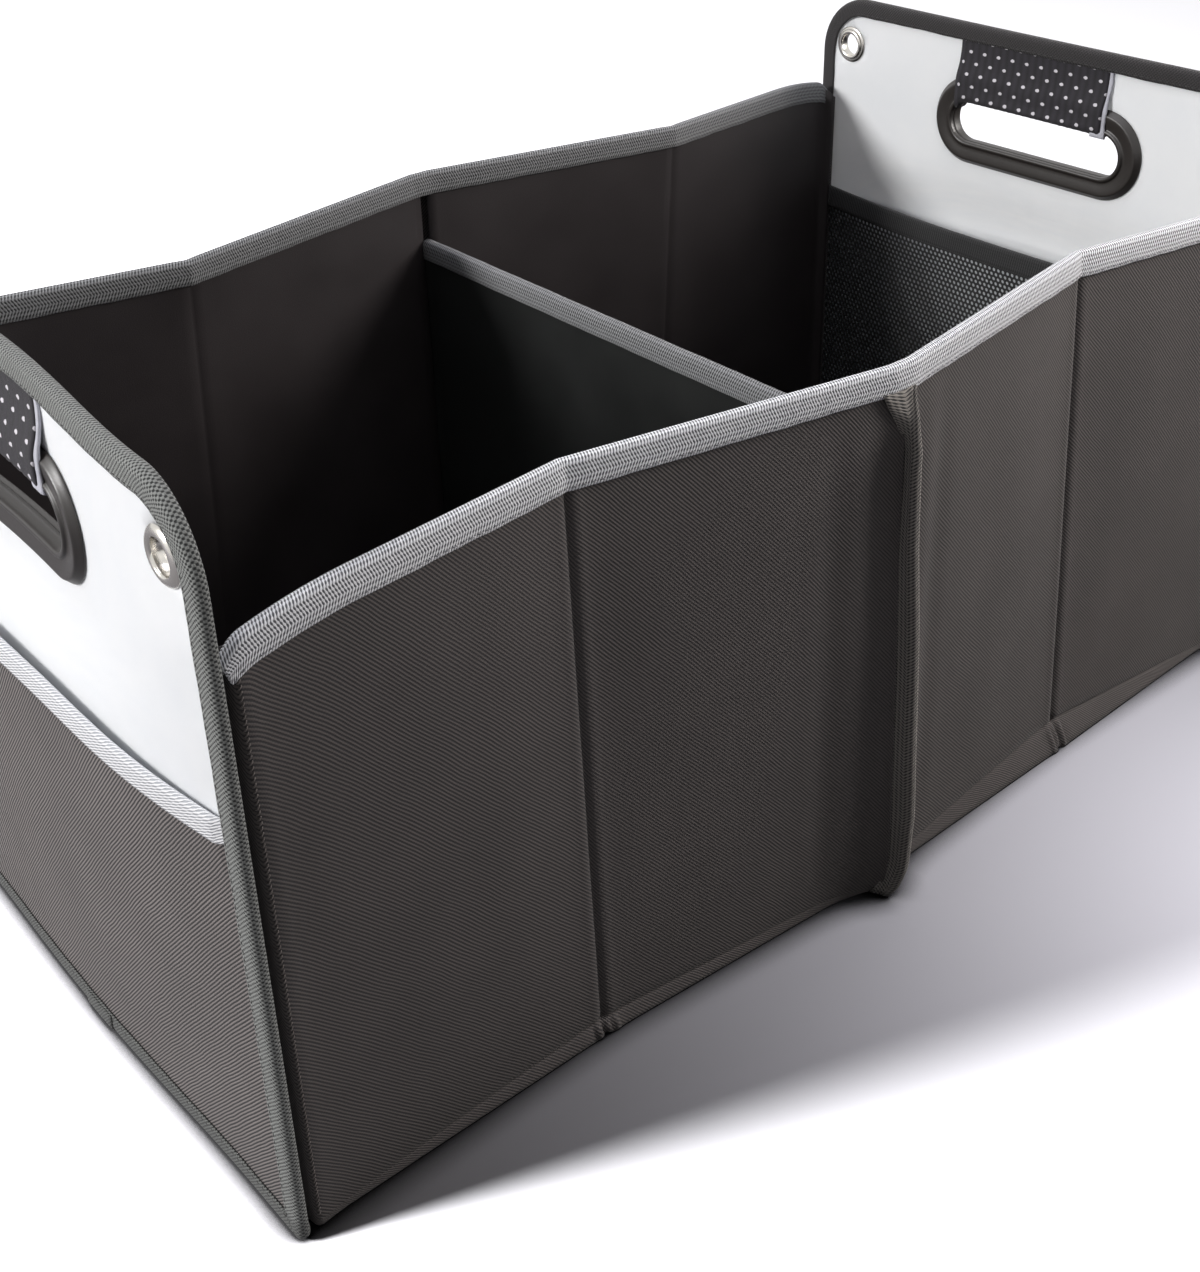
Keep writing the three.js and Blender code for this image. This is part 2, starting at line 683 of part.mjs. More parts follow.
for (const [sideName, side] of sides) {
  for (const [endName, end] of ends) {
    const cloth = wallSheet(end, side, clothLine, clothThickness, 0);
    const lining = wallSheet(end, side, liningLine, liningThickness, clothThickness + gap);
    add(`${sideName}_wall_${endName}_cloth`, cloth, twill);
    add(`${sideName}_wall_${endName}_lining`, lining, coatedLining);
    add(`${sideName}_${endName}_corner_board`, wallBoardPanel(end, side, nearPanel), board);
    add(`${sideName}_${endName}_centre_board`, wallBoardPanel(end, side, farPanel), board);
  }
  add(`${sideName}_wall_top_tape`, wallTopTape(side), paleTape);
  add(`${sideName}_centre_seam_tape`, centreSeamTape(side), greyTape);
}

// Divider: one cloth folded under its board, both faces drawn together where they run out into the centre
// seams
function dividerCloth() {
  const low = clothThickness + gap + dividerClothThickness / 2;
  const face = wallFace + centreBulge;
  const places = [
    [face + seamDepth - 1.5, seamFold], [face + 1, seamFold], [face - 1, seamFold],
    [face - dividerBoardInset + 1, dividerFace], [face / 2, dividerFace], [0, dividerFace],
  ];
  const all = places.map(([y, half]) => [-y, half]).concat(places.slice(0, -1).reverse());
  const sections = all.map(([y, half]) => {
    const side = [[half, dividerHeight], [half, dividerHeight / 2], [half, low + 1.2], [half * 0.55, low]];
    const line = side.map(([x, z]) => [-x, z]).concat(side.reverse());
    const lean = seamLean * Math.max(0, Math.abs(y) - face);
    const skin = strip(line, dividerClothThickness);
    return skin.map(([x, z]) => new THREE.Vector3(x + lean, y, z));
  });
  return loft(sections);
}

function dividerTape() {
  const half = dividerFace + dividerClothThickness / 2 + gap + tapeThickness / 2;
  const line = [
    [-half, -dividerTapeLeg], [-half, 0], [0.7 - half, tapeThickness * 1.5],
    [half - 0.7, tapeThickness * 1.5], [half, 0], [half, -dividerTapeLeg],
  ];
  const reach = wallBack + centreBulge - gap;
  return loft([-reach, 0, reach].map((y) =>
    strip(line, tapeThickness).map(([x, rise]) => new THREE.Vector3(x, y, dividerHeight + rise))));
}

const dividerLow = clothThickness + gap + dividerClothThickness + dividerBoardThickness / 2;
const dividerBoardHeight = dividerHeight - dividerLow - 1;
const dividerBoardWidth = (wallFace + centreBulge - dividerBoardInset) * 2;
const dividerBoard = new THREE.BoxGeometry(dividerBoardThickness, dividerBoardWidth, dividerBoardHeight);
dividerBoard.translate(0, 0, dividerLow + dividerBoardHeight / 2);

add('divider_cloth', dividerCloth(), coatedLining);
add('divider_board', mergeVertices(dividerBoard.deleteAttribute('normal').deleteAttribute('uv')), board);
add('divider_top_tape', dividerTape(), greyTape);

// Base cloth: its edge follows the foot of the walls and hooks round the corners with them
function baseCloth() {
  const clear = clothThickness / 2 + gap;
  const slope = new THREE.Vector2(slopeU - hookU, slopeV - hookV).normalize();
  const edge = [
    [endThickness + gap, hookV - clear],
    [hookU + clear * slope.y, hookV - clear],
    [slopeU + clear * slope.y, slopeV - clear * slope.x],
    ...[cornerGap + 1, ...nearPanel.slice(1)].map((u) => [u, wallCloth - clear]),
    [crease, wallCloth - clear - boardThickness / 2],
    ...[...farPanel, centre - seamRound].map((u) => [u, wallCloth - clear]),
  ];
  const corners = [];
  for (const [end, side] of [[-1, -1], [1, -1], [1, 1], [-1, 1]]) {
    const run = edge.map(([u, v]) => wallPoint(end, side, u, v, clothThickness));
    corners.push(...(end * side > 0 ? run : run.reverse()));
  }
  const shape = new THREE.Shape(corners.map((p) => new THREE.Vector2(p.x, p.y)));
  return new THREE.ExtrudeGeometry(shape, { depth: clothThickness, bevelEnabled: false });
}

add('base_cloth', geometryOf(solid(baseCloth())), twill);

for (const [endName, end] of ends) {
  const from = dividerFace + dividerClothThickness / 2 + gap + tapeThickness;
  const to = length / 2 - endThickness - baseBoardGap;
  const panel = new THREE.BoxGeometry(to - from, baseBoardWidth, baseBoardThickness);
  panel.translate(end * (from + to) / 2, 0, clothThickness + gap + baseBoardThickness / 2);
  panel.deleteAttribute('normal').deleteAttribute('uv');
  add(`base_board_${endName}`, mergeVertices(panel), coatedLining);
}

export default organiser;
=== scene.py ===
import bpy
import math
from mathutils import Vector, Matrix, noise, geometry


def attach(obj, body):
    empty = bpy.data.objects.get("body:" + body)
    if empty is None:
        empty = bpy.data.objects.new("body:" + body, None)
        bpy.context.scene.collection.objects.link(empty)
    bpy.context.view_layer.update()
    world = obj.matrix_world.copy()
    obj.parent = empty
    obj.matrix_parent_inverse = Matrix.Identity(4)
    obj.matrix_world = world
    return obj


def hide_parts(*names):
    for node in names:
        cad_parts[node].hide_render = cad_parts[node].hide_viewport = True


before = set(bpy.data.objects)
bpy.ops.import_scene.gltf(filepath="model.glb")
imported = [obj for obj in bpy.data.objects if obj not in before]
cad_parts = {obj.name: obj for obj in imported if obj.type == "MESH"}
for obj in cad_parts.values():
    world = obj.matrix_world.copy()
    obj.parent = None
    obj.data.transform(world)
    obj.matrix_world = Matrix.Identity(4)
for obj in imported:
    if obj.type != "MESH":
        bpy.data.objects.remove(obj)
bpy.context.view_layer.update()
scene = bpy.context.scene
scene.view_settings.view_transform = "Standard"


# Camera: it stands a little above the near left corner and looks down along the organiser.
camera_data = bpy.data.cameras.new("camera")
camera_data.sensor_width = 36
camera_data.lens = 48.4446
camera_data.shift_x = -0.0303
camera_data.shift_y = -0.0738
camera_data.clip_start = 0.02
camera = bpy.data.objects.new("camera", camera_data)
scene.collection.objects.link(camera)
camera.matrix_world = Matrix((
    (0.75105, 0.33444, -0.56928, -0.50851),
    (-0.66018, 0.36789, -0.65484, -0.59059),
    (-0.00957, 0.86765, 0.49709, 0.56566),
    (0, 0, 0, 1),
))
scene.camera = camera


# Studio: a white sweep lit by a large soft lamp low behind the left end, with a dim fill from the front. The floor
# runs out to white and keeps the shadow.
def linear(code):
    parts = [int(code[i:i + 2], 16) / 255 for i in (1, 3, 5)]
    return [p / 12.92 if p <= 0.04045 else ((p + 0.055) / 1.055) ** 2.4 for p in parts] + [1.0]


def node(tree, kind, inputs=None, **settings):
    made = tree.nodes.new(kind)
    for name, value in settings.items():
        setattr(made, name, value)
    for name, value in (inputs or {}).items():
        if isinstance(value, bpy.types.NodeSocket):
            tree.links.new(value, made.inputs[name])
        else:
            made.inputs[name].default_value = value
    return made


def empty_tree(name):
    material = bpy.data.materials.new(name)
    material.use_nodes = True
    material.node_tree.nodes.clear()
    return material, material.node_tree


def lamp(name, place, target, width, power, tint):
    data = bpy.data.lights.new(name, "AREA")
    data.shape = "DISK"
    data.size = width
    data.energy = power
    data.color = linear(tint)[:3]
    made = bpy.data.objects.new(name, data)
    scene.collection.objects.link(made)
    made.location = place
    made.rotation_euler = (Vector(target) - Vector(place)).to_track_quat("-Z", "Y").to_euler()
    return made


lamp("low_left_lamp", (-2.6, 1.05, 1.48), (0, 0, 0.1), 0.8, 91, "#fffefd")
floor_lamps = [lamp("low_left_floor_lamp", (-4.3, 1.75, 2.45), (0, 0, 0.1), 1.3, 1100, "#ffffff"),
               lamp("floor_wash", (0.22, -0.4, 0.5), (0.22, -0.4, 0), 0.2, 0.82, "#fcfaff")]
floor_lamps[1].data.spread = math.radians(100)
fills = [lamp("right_fill", (0.75, -0.6, 0.7), (0.1, 0, 0.1), 0.5, 10, "#fffaf6"),
         lamp("front_fill", (0.2, -3.0, 1.8), (0, 0, 0.1), 2.5, 4, "#fff8f2"),
         lamp("top_fill", (0.1, 0.2, 2.8), (0, 0, 0), 2.8, 40, "#f6f6ff")]

world = bpy.data.worlds.new("studio")
scene.world = world
world.use_nodes = True
world.node_tree.nodes.clear()
seen = node(world.node_tree, "ShaderNodeLightPath")
plain = node(world.node_tree, "ShaderNodeMath", {0: seen.outputs["Is Camera Ray"], 1: seen.outputs["Is Glossy Ray"]},
             operation="MAXIMUM")
plain = node(world.node_tree, "ShaderNodeMath", {0: plain.outputs[0], 1: seen.outputs["Is Transmission Ray"]},
             operation="MAXIMUM")
strength = node(world.node_tree, "ShaderNodeMapRange", {"Value": plain.outputs[0], "To Min": 0.03, "To Max": 1.0})
sky = node(world.node_tree, "ShaderNodeBackground", {"Color": (1, 1, 1, 1), "Strength": strength.outputs[0]})
node(world.node_tree, "ShaderNodeOutputWorld", {"Surface": sky.outputs[0]})

floor_mesh = bpy.data.meshes.new("floor")
floor_mesh.from_pydata([(-6, -6, 0), (6, -6, 0), (6, 6, 0), (-6, 6, 0)], [], [(0, 1, 2, 3)])
floor = bpy.data.objects.new("floor", floor_mesh)
scene.collection.objects.link(floor)
floor.location.z = -0.0006
sweep, tree = empty_tree("white_sweep")
# Painted shadow: ambient occlusion darkens the floor colour that the camera sees close to anything standing on it.
close = node(tree, "ShaderNodeAmbientOcclusion", {"Distance": 0.022}, samples=16)
painted_contact_shadow = node(tree, "ShaderNodeMapRange", {"Value": close.outputs["AO"], "From Min": 0.5, "From Max": 0.9,
                                            "To Min": 0.03})
shaded = node(tree, "ShaderNodeVectorMath", {0: linear("#f1f0f5")[:3], "Scale": painted_contact_shadow.outputs[0]}, operation="SCALE")
seen_matt = node(tree, "ShaderNodeBsdfDiffuse", {"Color": shaded.outputs[0]})
dim_matt = node(tree, "ShaderNodeBsdfDiffuse", {"Color": linear("#605f62")})
path = node(tree, "ShaderNodeLightPath")
swept = node(tree, "ShaderNodeMixShader", {0: path.outputs["Is Camera Ray"], 1: dim_matt.outputs[0],
                                           2: seen_matt.outputs[0]})
far_off = node(tree, "ShaderNodeVectorMath", {0: node(tree, "ShaderNodeNewGeometry").outputs["Position"]},
               operation="LENGTH")
fade = node(tree, "ShaderNodeMapRange", {"Value": far_off.outputs["Value"], "From Min": 1.6, "From Max": 2.6})
faded = node(tree, "ShaderNodeMath", {0: fade.outputs[0], 1: path.outputs["Is Camera Ray"]}, operation="MULTIPLY")
white = node(tree, "ShaderNodeEmission", {"Color": (1, 1, 1, 1)})
swept = node(tree, "ShaderNodeMixShader", {0: faded.outputs[0], 1: swept.outputs[0], 2: white.outputs[0]})
node(tree, "ShaderNodeOutputMaterial", {"Surface": swept.outputs[0]})
floor_mesh.materials.append(sweep)

# The fills are kept off the floor, so that its shadow stays deep.
kept_dark = bpy.data.collections.new("kept_dark")
kept_dark.objects.link(floor)
kept_dark.collection_objects[0].light_linking.link_state = "EXCLUDE"
for fill in fills:
    fill.light_linking.receiver_collection = kept_dark
washed = bpy.data.collections.new("washed")
washed.objects.link(floor)
for floor_lamp in floor_lamps:
    floor_lamp.light_linking.receiver_collection = washed


# End plates: frosted polypropylene sheet 2 mm thick, die-cut with a slot for the hand and two eyelet holes, and
# bowed slightly by the cloth sewn to it.
half_length = 320
end_half = 170
end_height = 328
top_radius = 35
foot_radius = 4
edging_leg = 10
eyelet_y, eyelet_z, eyelet_barrel = 146.5, 299, 7.4
hand_centre, hand_radius, hand_straight = 271, 12.5, 47.5
plate_face, plate_back = 2.2, 4.2
bow_half = 135.5


def bow(end, y, z):
    across = max(0.0, 1 - (y / bow_half) ** 2) ** 2
    top = 9 if end < 0 else 1
    return across * ((top + 3) * z / end_height - 3)


def end_point(end, depth, y, z):
    return Vector((end * (half_length - depth - bow(end, y, z)), y, z))


# The plate swells out a little behind the pocket's mouth
def swell(y, z):
    up, down = min(max((z - 40) / 130, 0.0), 1.0), min(max((243 - z) / 43, 0.0), 1.0)
    return 8 * max(0.0, 1 - (y / 157) ** 2) * up * up * (3 - 2 * up) * down * down * (3 - 2 * down)


def edge_path(inset, step=6.0):
    half, high = end_half - inset, end_height - inset
    corners = [(1, high, top_radius - inset, 0), (-1, high, top_radius - inset, 90),
               (-1, inset, max(foot_radius - inset, 0.6), 180), (1, inset, max(foot_radius - inset, 0.6), 270)]
    places = []
    for side, level, radius, start in corners:
        centre = (side * (half - radius), level - radius if start < 180 else level + radius)
        count = max(4, int(radius / 2.2))
        arc = []
        for i in range(count + 1):
            angle = math.radians(start + 90 * i / count)
            arc.append((centre[0] + radius * math.cos(angle), centre[1] + radius * math.sin(angle),
                        -math.cos(angle), -math.sin(angle)))
        if places:
            last, first = places[-1], arc[0]
            count = int(math.hypot(first[0] - last[0], first[1] - last[1]) / step)
            places += [tuple(a + (b - a) * i / count for a, b in zip(last, first)) for i in range(1, count)]
        places += arc
    last, first = places[-1], places[0]
    count = int(math.hypot(first[0] - last[0], first[1] - last[1]) / step)
    places += [tuple(a + (b - a) * i / count for a, b in zip(last, first)) for i in range(1, count)]
    return places


def hand_edge(spread, count=18):
    places = []
    for side, start in ((1, -90), (-1, 90)):
        for i in range(count + 1):
            angle = math.radians(start + 180 * i / count)
            away = (math.cos(angle), math.sin(angle))
            places.append((side * hand_straight + (hand_radius + spread) * away[0],
                           hand_centre + (hand_radius + spread) * away[1], away[0], away[1]))
        for i in range(1, 16):
            y = side * (hand_straight - 2 * hand_straight * i / 16)
            places.append((y, hand_centre + side * (hand_radius + spread), 0, side))
    return places


def inside(point, loop):
    hit = False
    for (ay, az), (by, bz) in zip(loop, loop[1:] + loop[:1]):
        if (az > point[1]) != (bz > point[1]) and point[0] < (by - ay) * (point[1] - az) / (bz - az) + ay:
            hit = not hit
    return hit


def filled(outer, holes, pitch):
    points, links = [], []
    for loop in [outer] + holes:
        start = len(points)
        points += [Vector(p) for p in loop]
        links += [(start + i, start + (i + 1) % len(loop)) for i in range(len(loop))]
    rim = list(points)
    low = [min(p[i] for p in outer) for i in (0, 1)]
    high = [max(p[i] for p in outer) for i in (0, 1)]
    for i in range(int((high[0] - low[0]) / pitch)):
        for j in range(int((high[1] - low[1]) / pitch)):
            place = Vector((low[0] + (i + 0.5) * pitch, low[1] + (j + 0.5) * pitch))
            if inside(place, outer) and not any(inside(place, hole) for hole in holes):
                if min((place - p).length_squared for p in rim) > (0.55 * pitch) ** 2:
                    points.append(place)
    made = geometry.delaunay_2d_cdt(points, links, [], 0, 1e-4)
    faces = []
    for face in made[2]:
        middle = sum((made[0][i] for i in face), Vector((0, 0))) / len(face)
        if inside(middle, outer) and not any(inside(middle, hole) for hole in holes):
            faces.append(face)
    return made[0], faces


def place_mesh(name, points, faces, material, thickness=0, offset=0.0, corners=None):
    mesh = bpy.data.meshes.new(name)
    mesh.from_pydata([Vector(p) * 0.001 for p in points], [], faces)
    if corners:
        layer = mesh.uv_layers.new(name="UVMap")
        layer.data.foreach_set("uv", [value for corner in corners for value in corner])
    mesh.polygons.foreach_set("use_smooth", [True] * len(mesh.polygons))
    mesh.materials.append(material)
    piece = bpy.data.objects.new(name, mesh)
    scene.collection.objects.link(piece)
    if thickness:
        sides = piece.modifiers.new("thickness", "SOLIDIFY")
        sides.thickness = thickness * 0.001
        sides.offset = offset
        sides.use_even_offset = True
    return piece


# Frosted polypropylene is milky and waxy: a broad soft highlight, a little light carried inside, a faint calender
# grain and a cool tint in the shade.
frosted_pp, tree = empty_tree("frosted_polypropylene_calendered")
grain = node(tree, "ShaderNodeTexNoise", {"Scale": 420.0, "Detail": 3.0, "Roughness": 0.6})
cloud = node(tree, "ShaderNodeTexNoise", {"Scale": 9.0, "Detail": 2.0})
milk = node(tree, "ShaderNodeMix", {"Factor": cloud.outputs[0], "A": linear("#f3f5f7"), "B": linear("#e9edf2")},
            data_type="RGBA")
rough = node(tree, "ShaderNodeMapRange", {"Value": grain.outputs[0], "To Min": 0.34, "To Max": 0.5})
bumps = node(tree, "ShaderNodeBump", {"Height": grain.outputs[0], "Strength": 0.12, "Distance": 0.0003})
skin = node(tree, "ShaderNodeBsdfPrincipled", {"Base Color": milk.outputs["Result"], "Roughness": rough.outputs[0],
            "Normal": bumps.outputs[0], "IOR": 1.49, "Subsurface Weight": 0.6, "Subsurface Scale": 0.006,
            "Subsurface Radius": (1, 1, 1)})
node(tree, "ShaderNodeOutputMaterial", {"Surface": skin.outputs[0]})

ends = (("near", -1), ("far", 1))
sides = (("front", -1), ("back", 1))
for end_name, end in ends:
    rim = [(y, z) for y, z, _, _ in edge_path(1.1)]
    slot = [(y, z) for y, z, _, _ in hand_edge(4)]
    bores = [[(y + 7.7 * math.cos(math.tau * i / 24), eyelet_z + 7.7 * math.sin(math.tau * i / 24)) for i in range(24)]
             for y in (-eyelet_y, eyelet_y)]
    flat, faces = filled(rim, [slot] + bores, 8.0)
    faces = [face if end > 0 else face[::-1] for face in faces]
    plate = place_mesh(f"{end_name}_plate_sheet",
                       [end_point(end, plate_face - swell(p[0], p[1]), p[0], p[1]) for p in flat], faces,
                       frosted_pp, thickness=2, offset=-1)
    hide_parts(f"{end_name}_end_plate")
    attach(plate, "root")


# End edging: coarse polyester webbing 26 mm wide, folded over the edge of the plate and everything sewn to it, with
# one row of stitches. Its two ends overlap in the bottom hem.
def woven_piece(name, rows, material, thickness=0, offset=0.0, round_rows=False, round_columns=False, shift=(0, 0)):
    count, deep = len(rows[0]), len(rows)
    mid_row, mid_column = rows[deep // 2], [row[count // 2] for row in rows]
    across = [shift[0]]
    for j in range(count if round_columns else count - 1):
        across.append(across[-1] + (mid_row[(j + 1) % count] - mid_row[j]).length)
    along = [shift[1]]
    for i in range(deep if round_rows else deep - 1):
        along.append(along[-1] + (mid_column[(i + 1) % deep] - mid_column[i]).length)
    faces, corners = [], []
    for i in range(deep if round_rows else deep - 1):
        for j in range(count if round_columns else count - 1):
            here, after, k = i * count, (i + 1) % deep * count, (j + 1) % count
            faces.append((here + j, here + k, after + k, after + j))
            corners += [(across[j], along[i]), (across[j + 1], along[i]),
                        (across[j + 1], along[i + 1]), (across[j], along[i + 1])]
    return place_mesh(name, [p for row in rows for p in row], faces, material, thickness, offset, corners)


def waver(where, size):
    return size * (math.sin(where * 0.11) + math.sin(where * 0.047 + 1.3) + 0.6 * math.sin(where * 0.29 + 0.4)) / 2.6


def stitched(name, path, material, length=2.8, pitch=4.0, radius=0.28, slant=0.0):
    points, faces = [], []
    travelled, due = 0.0, 0.0
    for (place, normal), (following, _) in zip(path, path[1:]):
        run = following - place
        if run.length < 1e-6:
            continue
        while due <= travelled + run.length:
            middle = place + run * ((due - travelled) / run.length)
            out = normal.normalized()
            along = (run.normalized() + run.normalized().cross(out) * slant).normalized()
            aside = along.cross(out)
            start = len(points)
            for t, lift, thin in ((-0.5, -0.3, 0.35), (-0.3, 0.12, 1), (0, 0.24, 1.05), (0.3, 0.12, 1), (0.5, -0.3, 0.35)):
                for k in range(6):
                    angle = math.tau * k / 6
                    points.append(middle + along * t * length + out * (lift + radius * thin * math.sin(angle))
                                  + aside * radius * thin * math.cos(angle))
            for i in range(4):
                faces += [(start + i * 6 + k, start + i * 6 + (k + 1) % 6, start + i * 6 + 6 + (k + 1) % 6,
                           start + i * 6 + 6 + k) for k in range(6)]
            faces += [tuple(start + k for k in range(5, -1, -1)), tuple(start + 24 + k for k in range(6))]
            due += pitch
        travelled += run.length
    return place_mesh(name, points, faces, material)


# Coarse basket webbing: pale grey yarns with dark holes between them in a stagger, 1.9 mm apart along each row.
def basket_webbing(name, yarn, gap_shade, pitch):
    material, tree = empty_tree(name)
    place = node(tree, "ShaderNodeUVMap", uv_map="UVMap")
    wander = node(tree, "ShaderNodeTexNoise", {"Vector": place.outputs[0], "Scale": 0.35, "Detail": 2.0})
    moved = node(tree, "ShaderNodeVectorMath", {0: wander.outputs[1], 1: (0.5, 0.5, 0), 2: place.outputs[0]},
                 operation="MULTIPLY_ADD")
    turns = node(tree, "ShaderNodeVectorMath", {0: moved.outputs[0], 1: (math.tau / pitch, math.tau / pitch, 0)},
                 operation="MULTIPLY")
    waves = node(tree, "ShaderNodeVectorMath", {0: turns.outputs[0]}, operation="COSINE")
    parts = node(tree, "ShaderNodeSeparateXYZ", {0: waves.outputs[0]})
    crossed = node(tree, "ShaderNodeMath", {0: parts.outputs["X"], 1: parts.outputs["Y"]}, operation="MULTIPLY")
    fuzz = node(tree, "ShaderNodeTexNoise", {"Vector": place.outputs[0], "Scale": 1.1, "Detail": 3.0})
    mixed = node(tree, "ShaderNodeMath", {0: fuzz.outputs[0], 1: 0.9, 2: crossed.outputs[0]}, operation="MULTIPLY_ADD")
    height = node(tree, "ShaderNodeMapRange", {"Value": mixed.outputs[0], "From Min": -0.2, "From Max": 0.85},
                  interpolation_type="SMOOTHSTEP")
    colour = node(tree, "ShaderNodeMix", {"Factor": height.outputs[0], "A": linear(gap_shade), "B": linear(yarn)},
                  data_type="RGBA")
    here = node(tree, "ShaderNodeNewGeometry")
    level = node(tree, "ShaderNodeSeparateXYZ", {0: here.outputs["Position"]})
    # Painted shade: the webbing's colour falls to 55% from 14 mm down to 8 mm above the floor, darkening the hem.
    hem_painted_shade = node(tree, "ShaderNodeMapRange", {"Value": level.outputs["Z"], "From Min": 0.008, "From Max": 0.014,
                                             "To Min": 0.55})
    colour = node(tree, "ShaderNodeVectorMath", {0: colour.outputs["Result"], "Scale": hem_painted_shade.outputs[0]},
                  operation="SCALE")
    bumps = node(tree, "ShaderNodeBump", {"Height": height.outputs[0], "Strength": 0.8, "Distance": 0.0004})
    skin = node(tree, "ShaderNodeBsdfPrincipled", {"Base Color": colour.outputs[0], "Roughness": 0.78,
                "Normal": bumps.outputs[0], "Sheen Weight": 0.12, "Sheen Roughness": 0.5})
    node(tree, "ShaderNodeOutputMaterial", {"Surface": skin.outputs[0]})
    return material


near_webbing = basket_webbing("polyester_basket_webbing_grey", "#8b8d8a", "#191b1a", 1.9)
far_webbing = basket_webbing("polyester_basket_webbing_black", "#282425", "#0d0c0d", 1.9)

# Spun polyester thread: matt, slightly fuzzy, close to the colour of the tape that it holds.
dark_thread, tree = empty_tree("spun_polyester_thread")
twist = node(tree, "ShaderNodeTexNoise", {"Scale": 1800.0, "Detail": 2.0})
colour = node(tree, "ShaderNodeMix", {"Factor": twist.outputs[0], "A": linear("#232222"), "B": linear("#4b4a49")},
              data_type="RGBA")
skin = node(tree, "ShaderNodeBsdfPrincipled", {"Base Color": colour.outputs["Result"], "Roughness": 0.8})
node(tree, "ShaderNodeOutputMaterial", {"Surface": skin.outputs[0]})

fold_line = [(10.0, 0.45), (8.6, 0.25), (7.2, 0.3), (5.0, 0.2), (2.8, 0.3), (1.4, 0.75), (0.7, 1.6), (0.45, 2.6),
             (0.4, 3.2), (0.45, 3.8), (0.7, 4.8), (1.4, 5.65), (2.8, 6.1), (5.0, 6.2), (7.2, 6.1), (8.6, 6.15),
             (10.0, 5.95)]
def hem_place(place, reach):
    limit = end_half - reach
    y, z = place[0] + place[2] * reach, place[1] + place[3] * reach
    return max(-limit, min(limit, y)), max(reach, z)


for end_name, end in ends:
    rows, outer_row, inner_row, travelled = [], [], [], 0.0
    path = edge_path(0, 4.0)
    for i, place in enumerate(path):
        travelled += math.hypot(place[0] - path[i - 1][0], place[1] - path[i - 1][1])
        row = []
        for reach, depth in fold_line:
            reach = reach * (1 + waver(travelled * 2, 0.03)) if reach > 6 else reach
            thin = 0.45 * max(0.0, depth - 3.2) * place[2] ** 2
            row.append(end_point(end, depth - thin, *hem_place(place, reach)))
        rows.append(row if end < 0 else row[::-1])
        outer_row.append((end_point(end, 0.12, *hem_place(place, 8.6)), Vector((end, 0, 0))))
        inner_row.append((end_point(end, 6.28 - 1.35 * place[2] ** 2, *hem_place(place, 8.6)),
                          Vector((-end, 0, 0))))
    webbing = near_webbing if end < 0 else far_webbing
    edging = woven_piece(f"{end_name}_edging_webbing", rows, webbing, thickness=0.8, round_rows=True)
    rows = []
    for i in range(13):
        y = -18 + 2 * i
        thick = 1.0 if 0 < i < 12 else 0.55
        row = [end_point(end, 3.2 + (depth - 3.2) * (1 + 0.3 * thick), y, max(0.42, reach * 0.93 + waver(y * 9, 0.4)))
               for reach, depth in fold_line]
        rows.append(row if end < 0 else row[::-1])
    lap = woven_piece(f"{end_name}_edging_lap", rows, webbing, thickness=0.8)
    for piece in (edging, lap):
        piece.modifiers["thickness"].use_even_offset = False
        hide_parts(f"{end_name}_end_edging")
    seams = [lap, stitched(f"{end_name}_edging_stitches_outer", outer_row + outer_row[:1], dark_thread),
             stitched(f"{end_name}_edging_stitches_inner", inner_row + inner_row[:1], dark_thread)]
    for piece in [edging] + seams:
        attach(piece, "root")


# Handle rings: two halves moulded in black ABS that clip together through the hand slot and clamp the plate.
# Moulded ABS has a low satin gloss, a fine spark-eroded grain and polished edges.
satin_abs, tree = empty_tree("moulded_abs_satin")
grain = node(tree, "ShaderNodeTexNoise", {"Scale": 1400.0, "Detail": 2.0})
wear = node(tree, "ShaderNodeTexNoise", {"Scale": 60.0, "Detail": 4.0})
colour = node(tree, "ShaderNodeMix", {"Factor": wear.outputs[0], "A": linear("#262321"), "B": linear("#322e2c")},
              data_type="RGBA")
rough = node(tree, "ShaderNodeMapRange", {"Value": wear.outputs[0], "To Min": 0.3, "To Max": 0.48})
bumps = node(tree, "ShaderNodeBump", {"Height": grain.outputs[0], "Strength": 0.15, "Distance": 0.0001})
skin = node(tree, "ShaderNodeBsdfPrincipled", {"Base Color": colour.outputs["Result"], "Roughness": rough.outputs[0],
            "Normal": bumps.outputs[0], "IOR": 1.54})
node(tree, "ShaderNodeOutputMaterial", {"Surface": skin.outputs[0]})

ring_dome = [(0, 0.6), (0.05, -0.9), (0.3, -1.6), (0.9, -1.9), (1.8, -1.9), (2.3, -1.7), (2.6, -1.1), (2.9, -0.75),
             (3.6, -0.7), (5.2, -0.95), (7.5, -1.3), (9.6, -1.5), (10.5, -1.5), (10.9, -1.3), (11.3, -0.75),
             (12.4, 0.35), (13.2, 1.15), (13.5, 1.6), (13.45, 1.85), (13.1, 1.9), (12.8, 1.9)]
outer_section = [(0, 5.2), (0, 3.0)] + ring_dome + [(1.7, 1.9), (1.7, 4.2), (1.7, 5.2)]
inner_section = [(0, 5.5)] + [(reach, 6.4 - depth) for reach, depth in ring_dome] + [
    (4.0, 4.5), (3.7, 4.5), (3.7, 2.3), (2.0, 2.3), (2.0, 4.9), (2.0, 5.5)]
for end_name, end in ends:
    for half_name, section in (("outer", outer_section), ("inner", inner_section)):
        rows = [[end_point(end, depth, y + away_y * reach, z + away_z * reach) for reach, depth in section]
                for y, z, away_y, away_z in hand_edge(0, 28)]
        ring = woven_piece(f"{end_name}_ring_{half_name}_half", rows, satin_abs, round_rows=True, round_columns=True)
        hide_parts(f"{end_name}_handle_ring_{half_name}")
        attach(ring, "root")


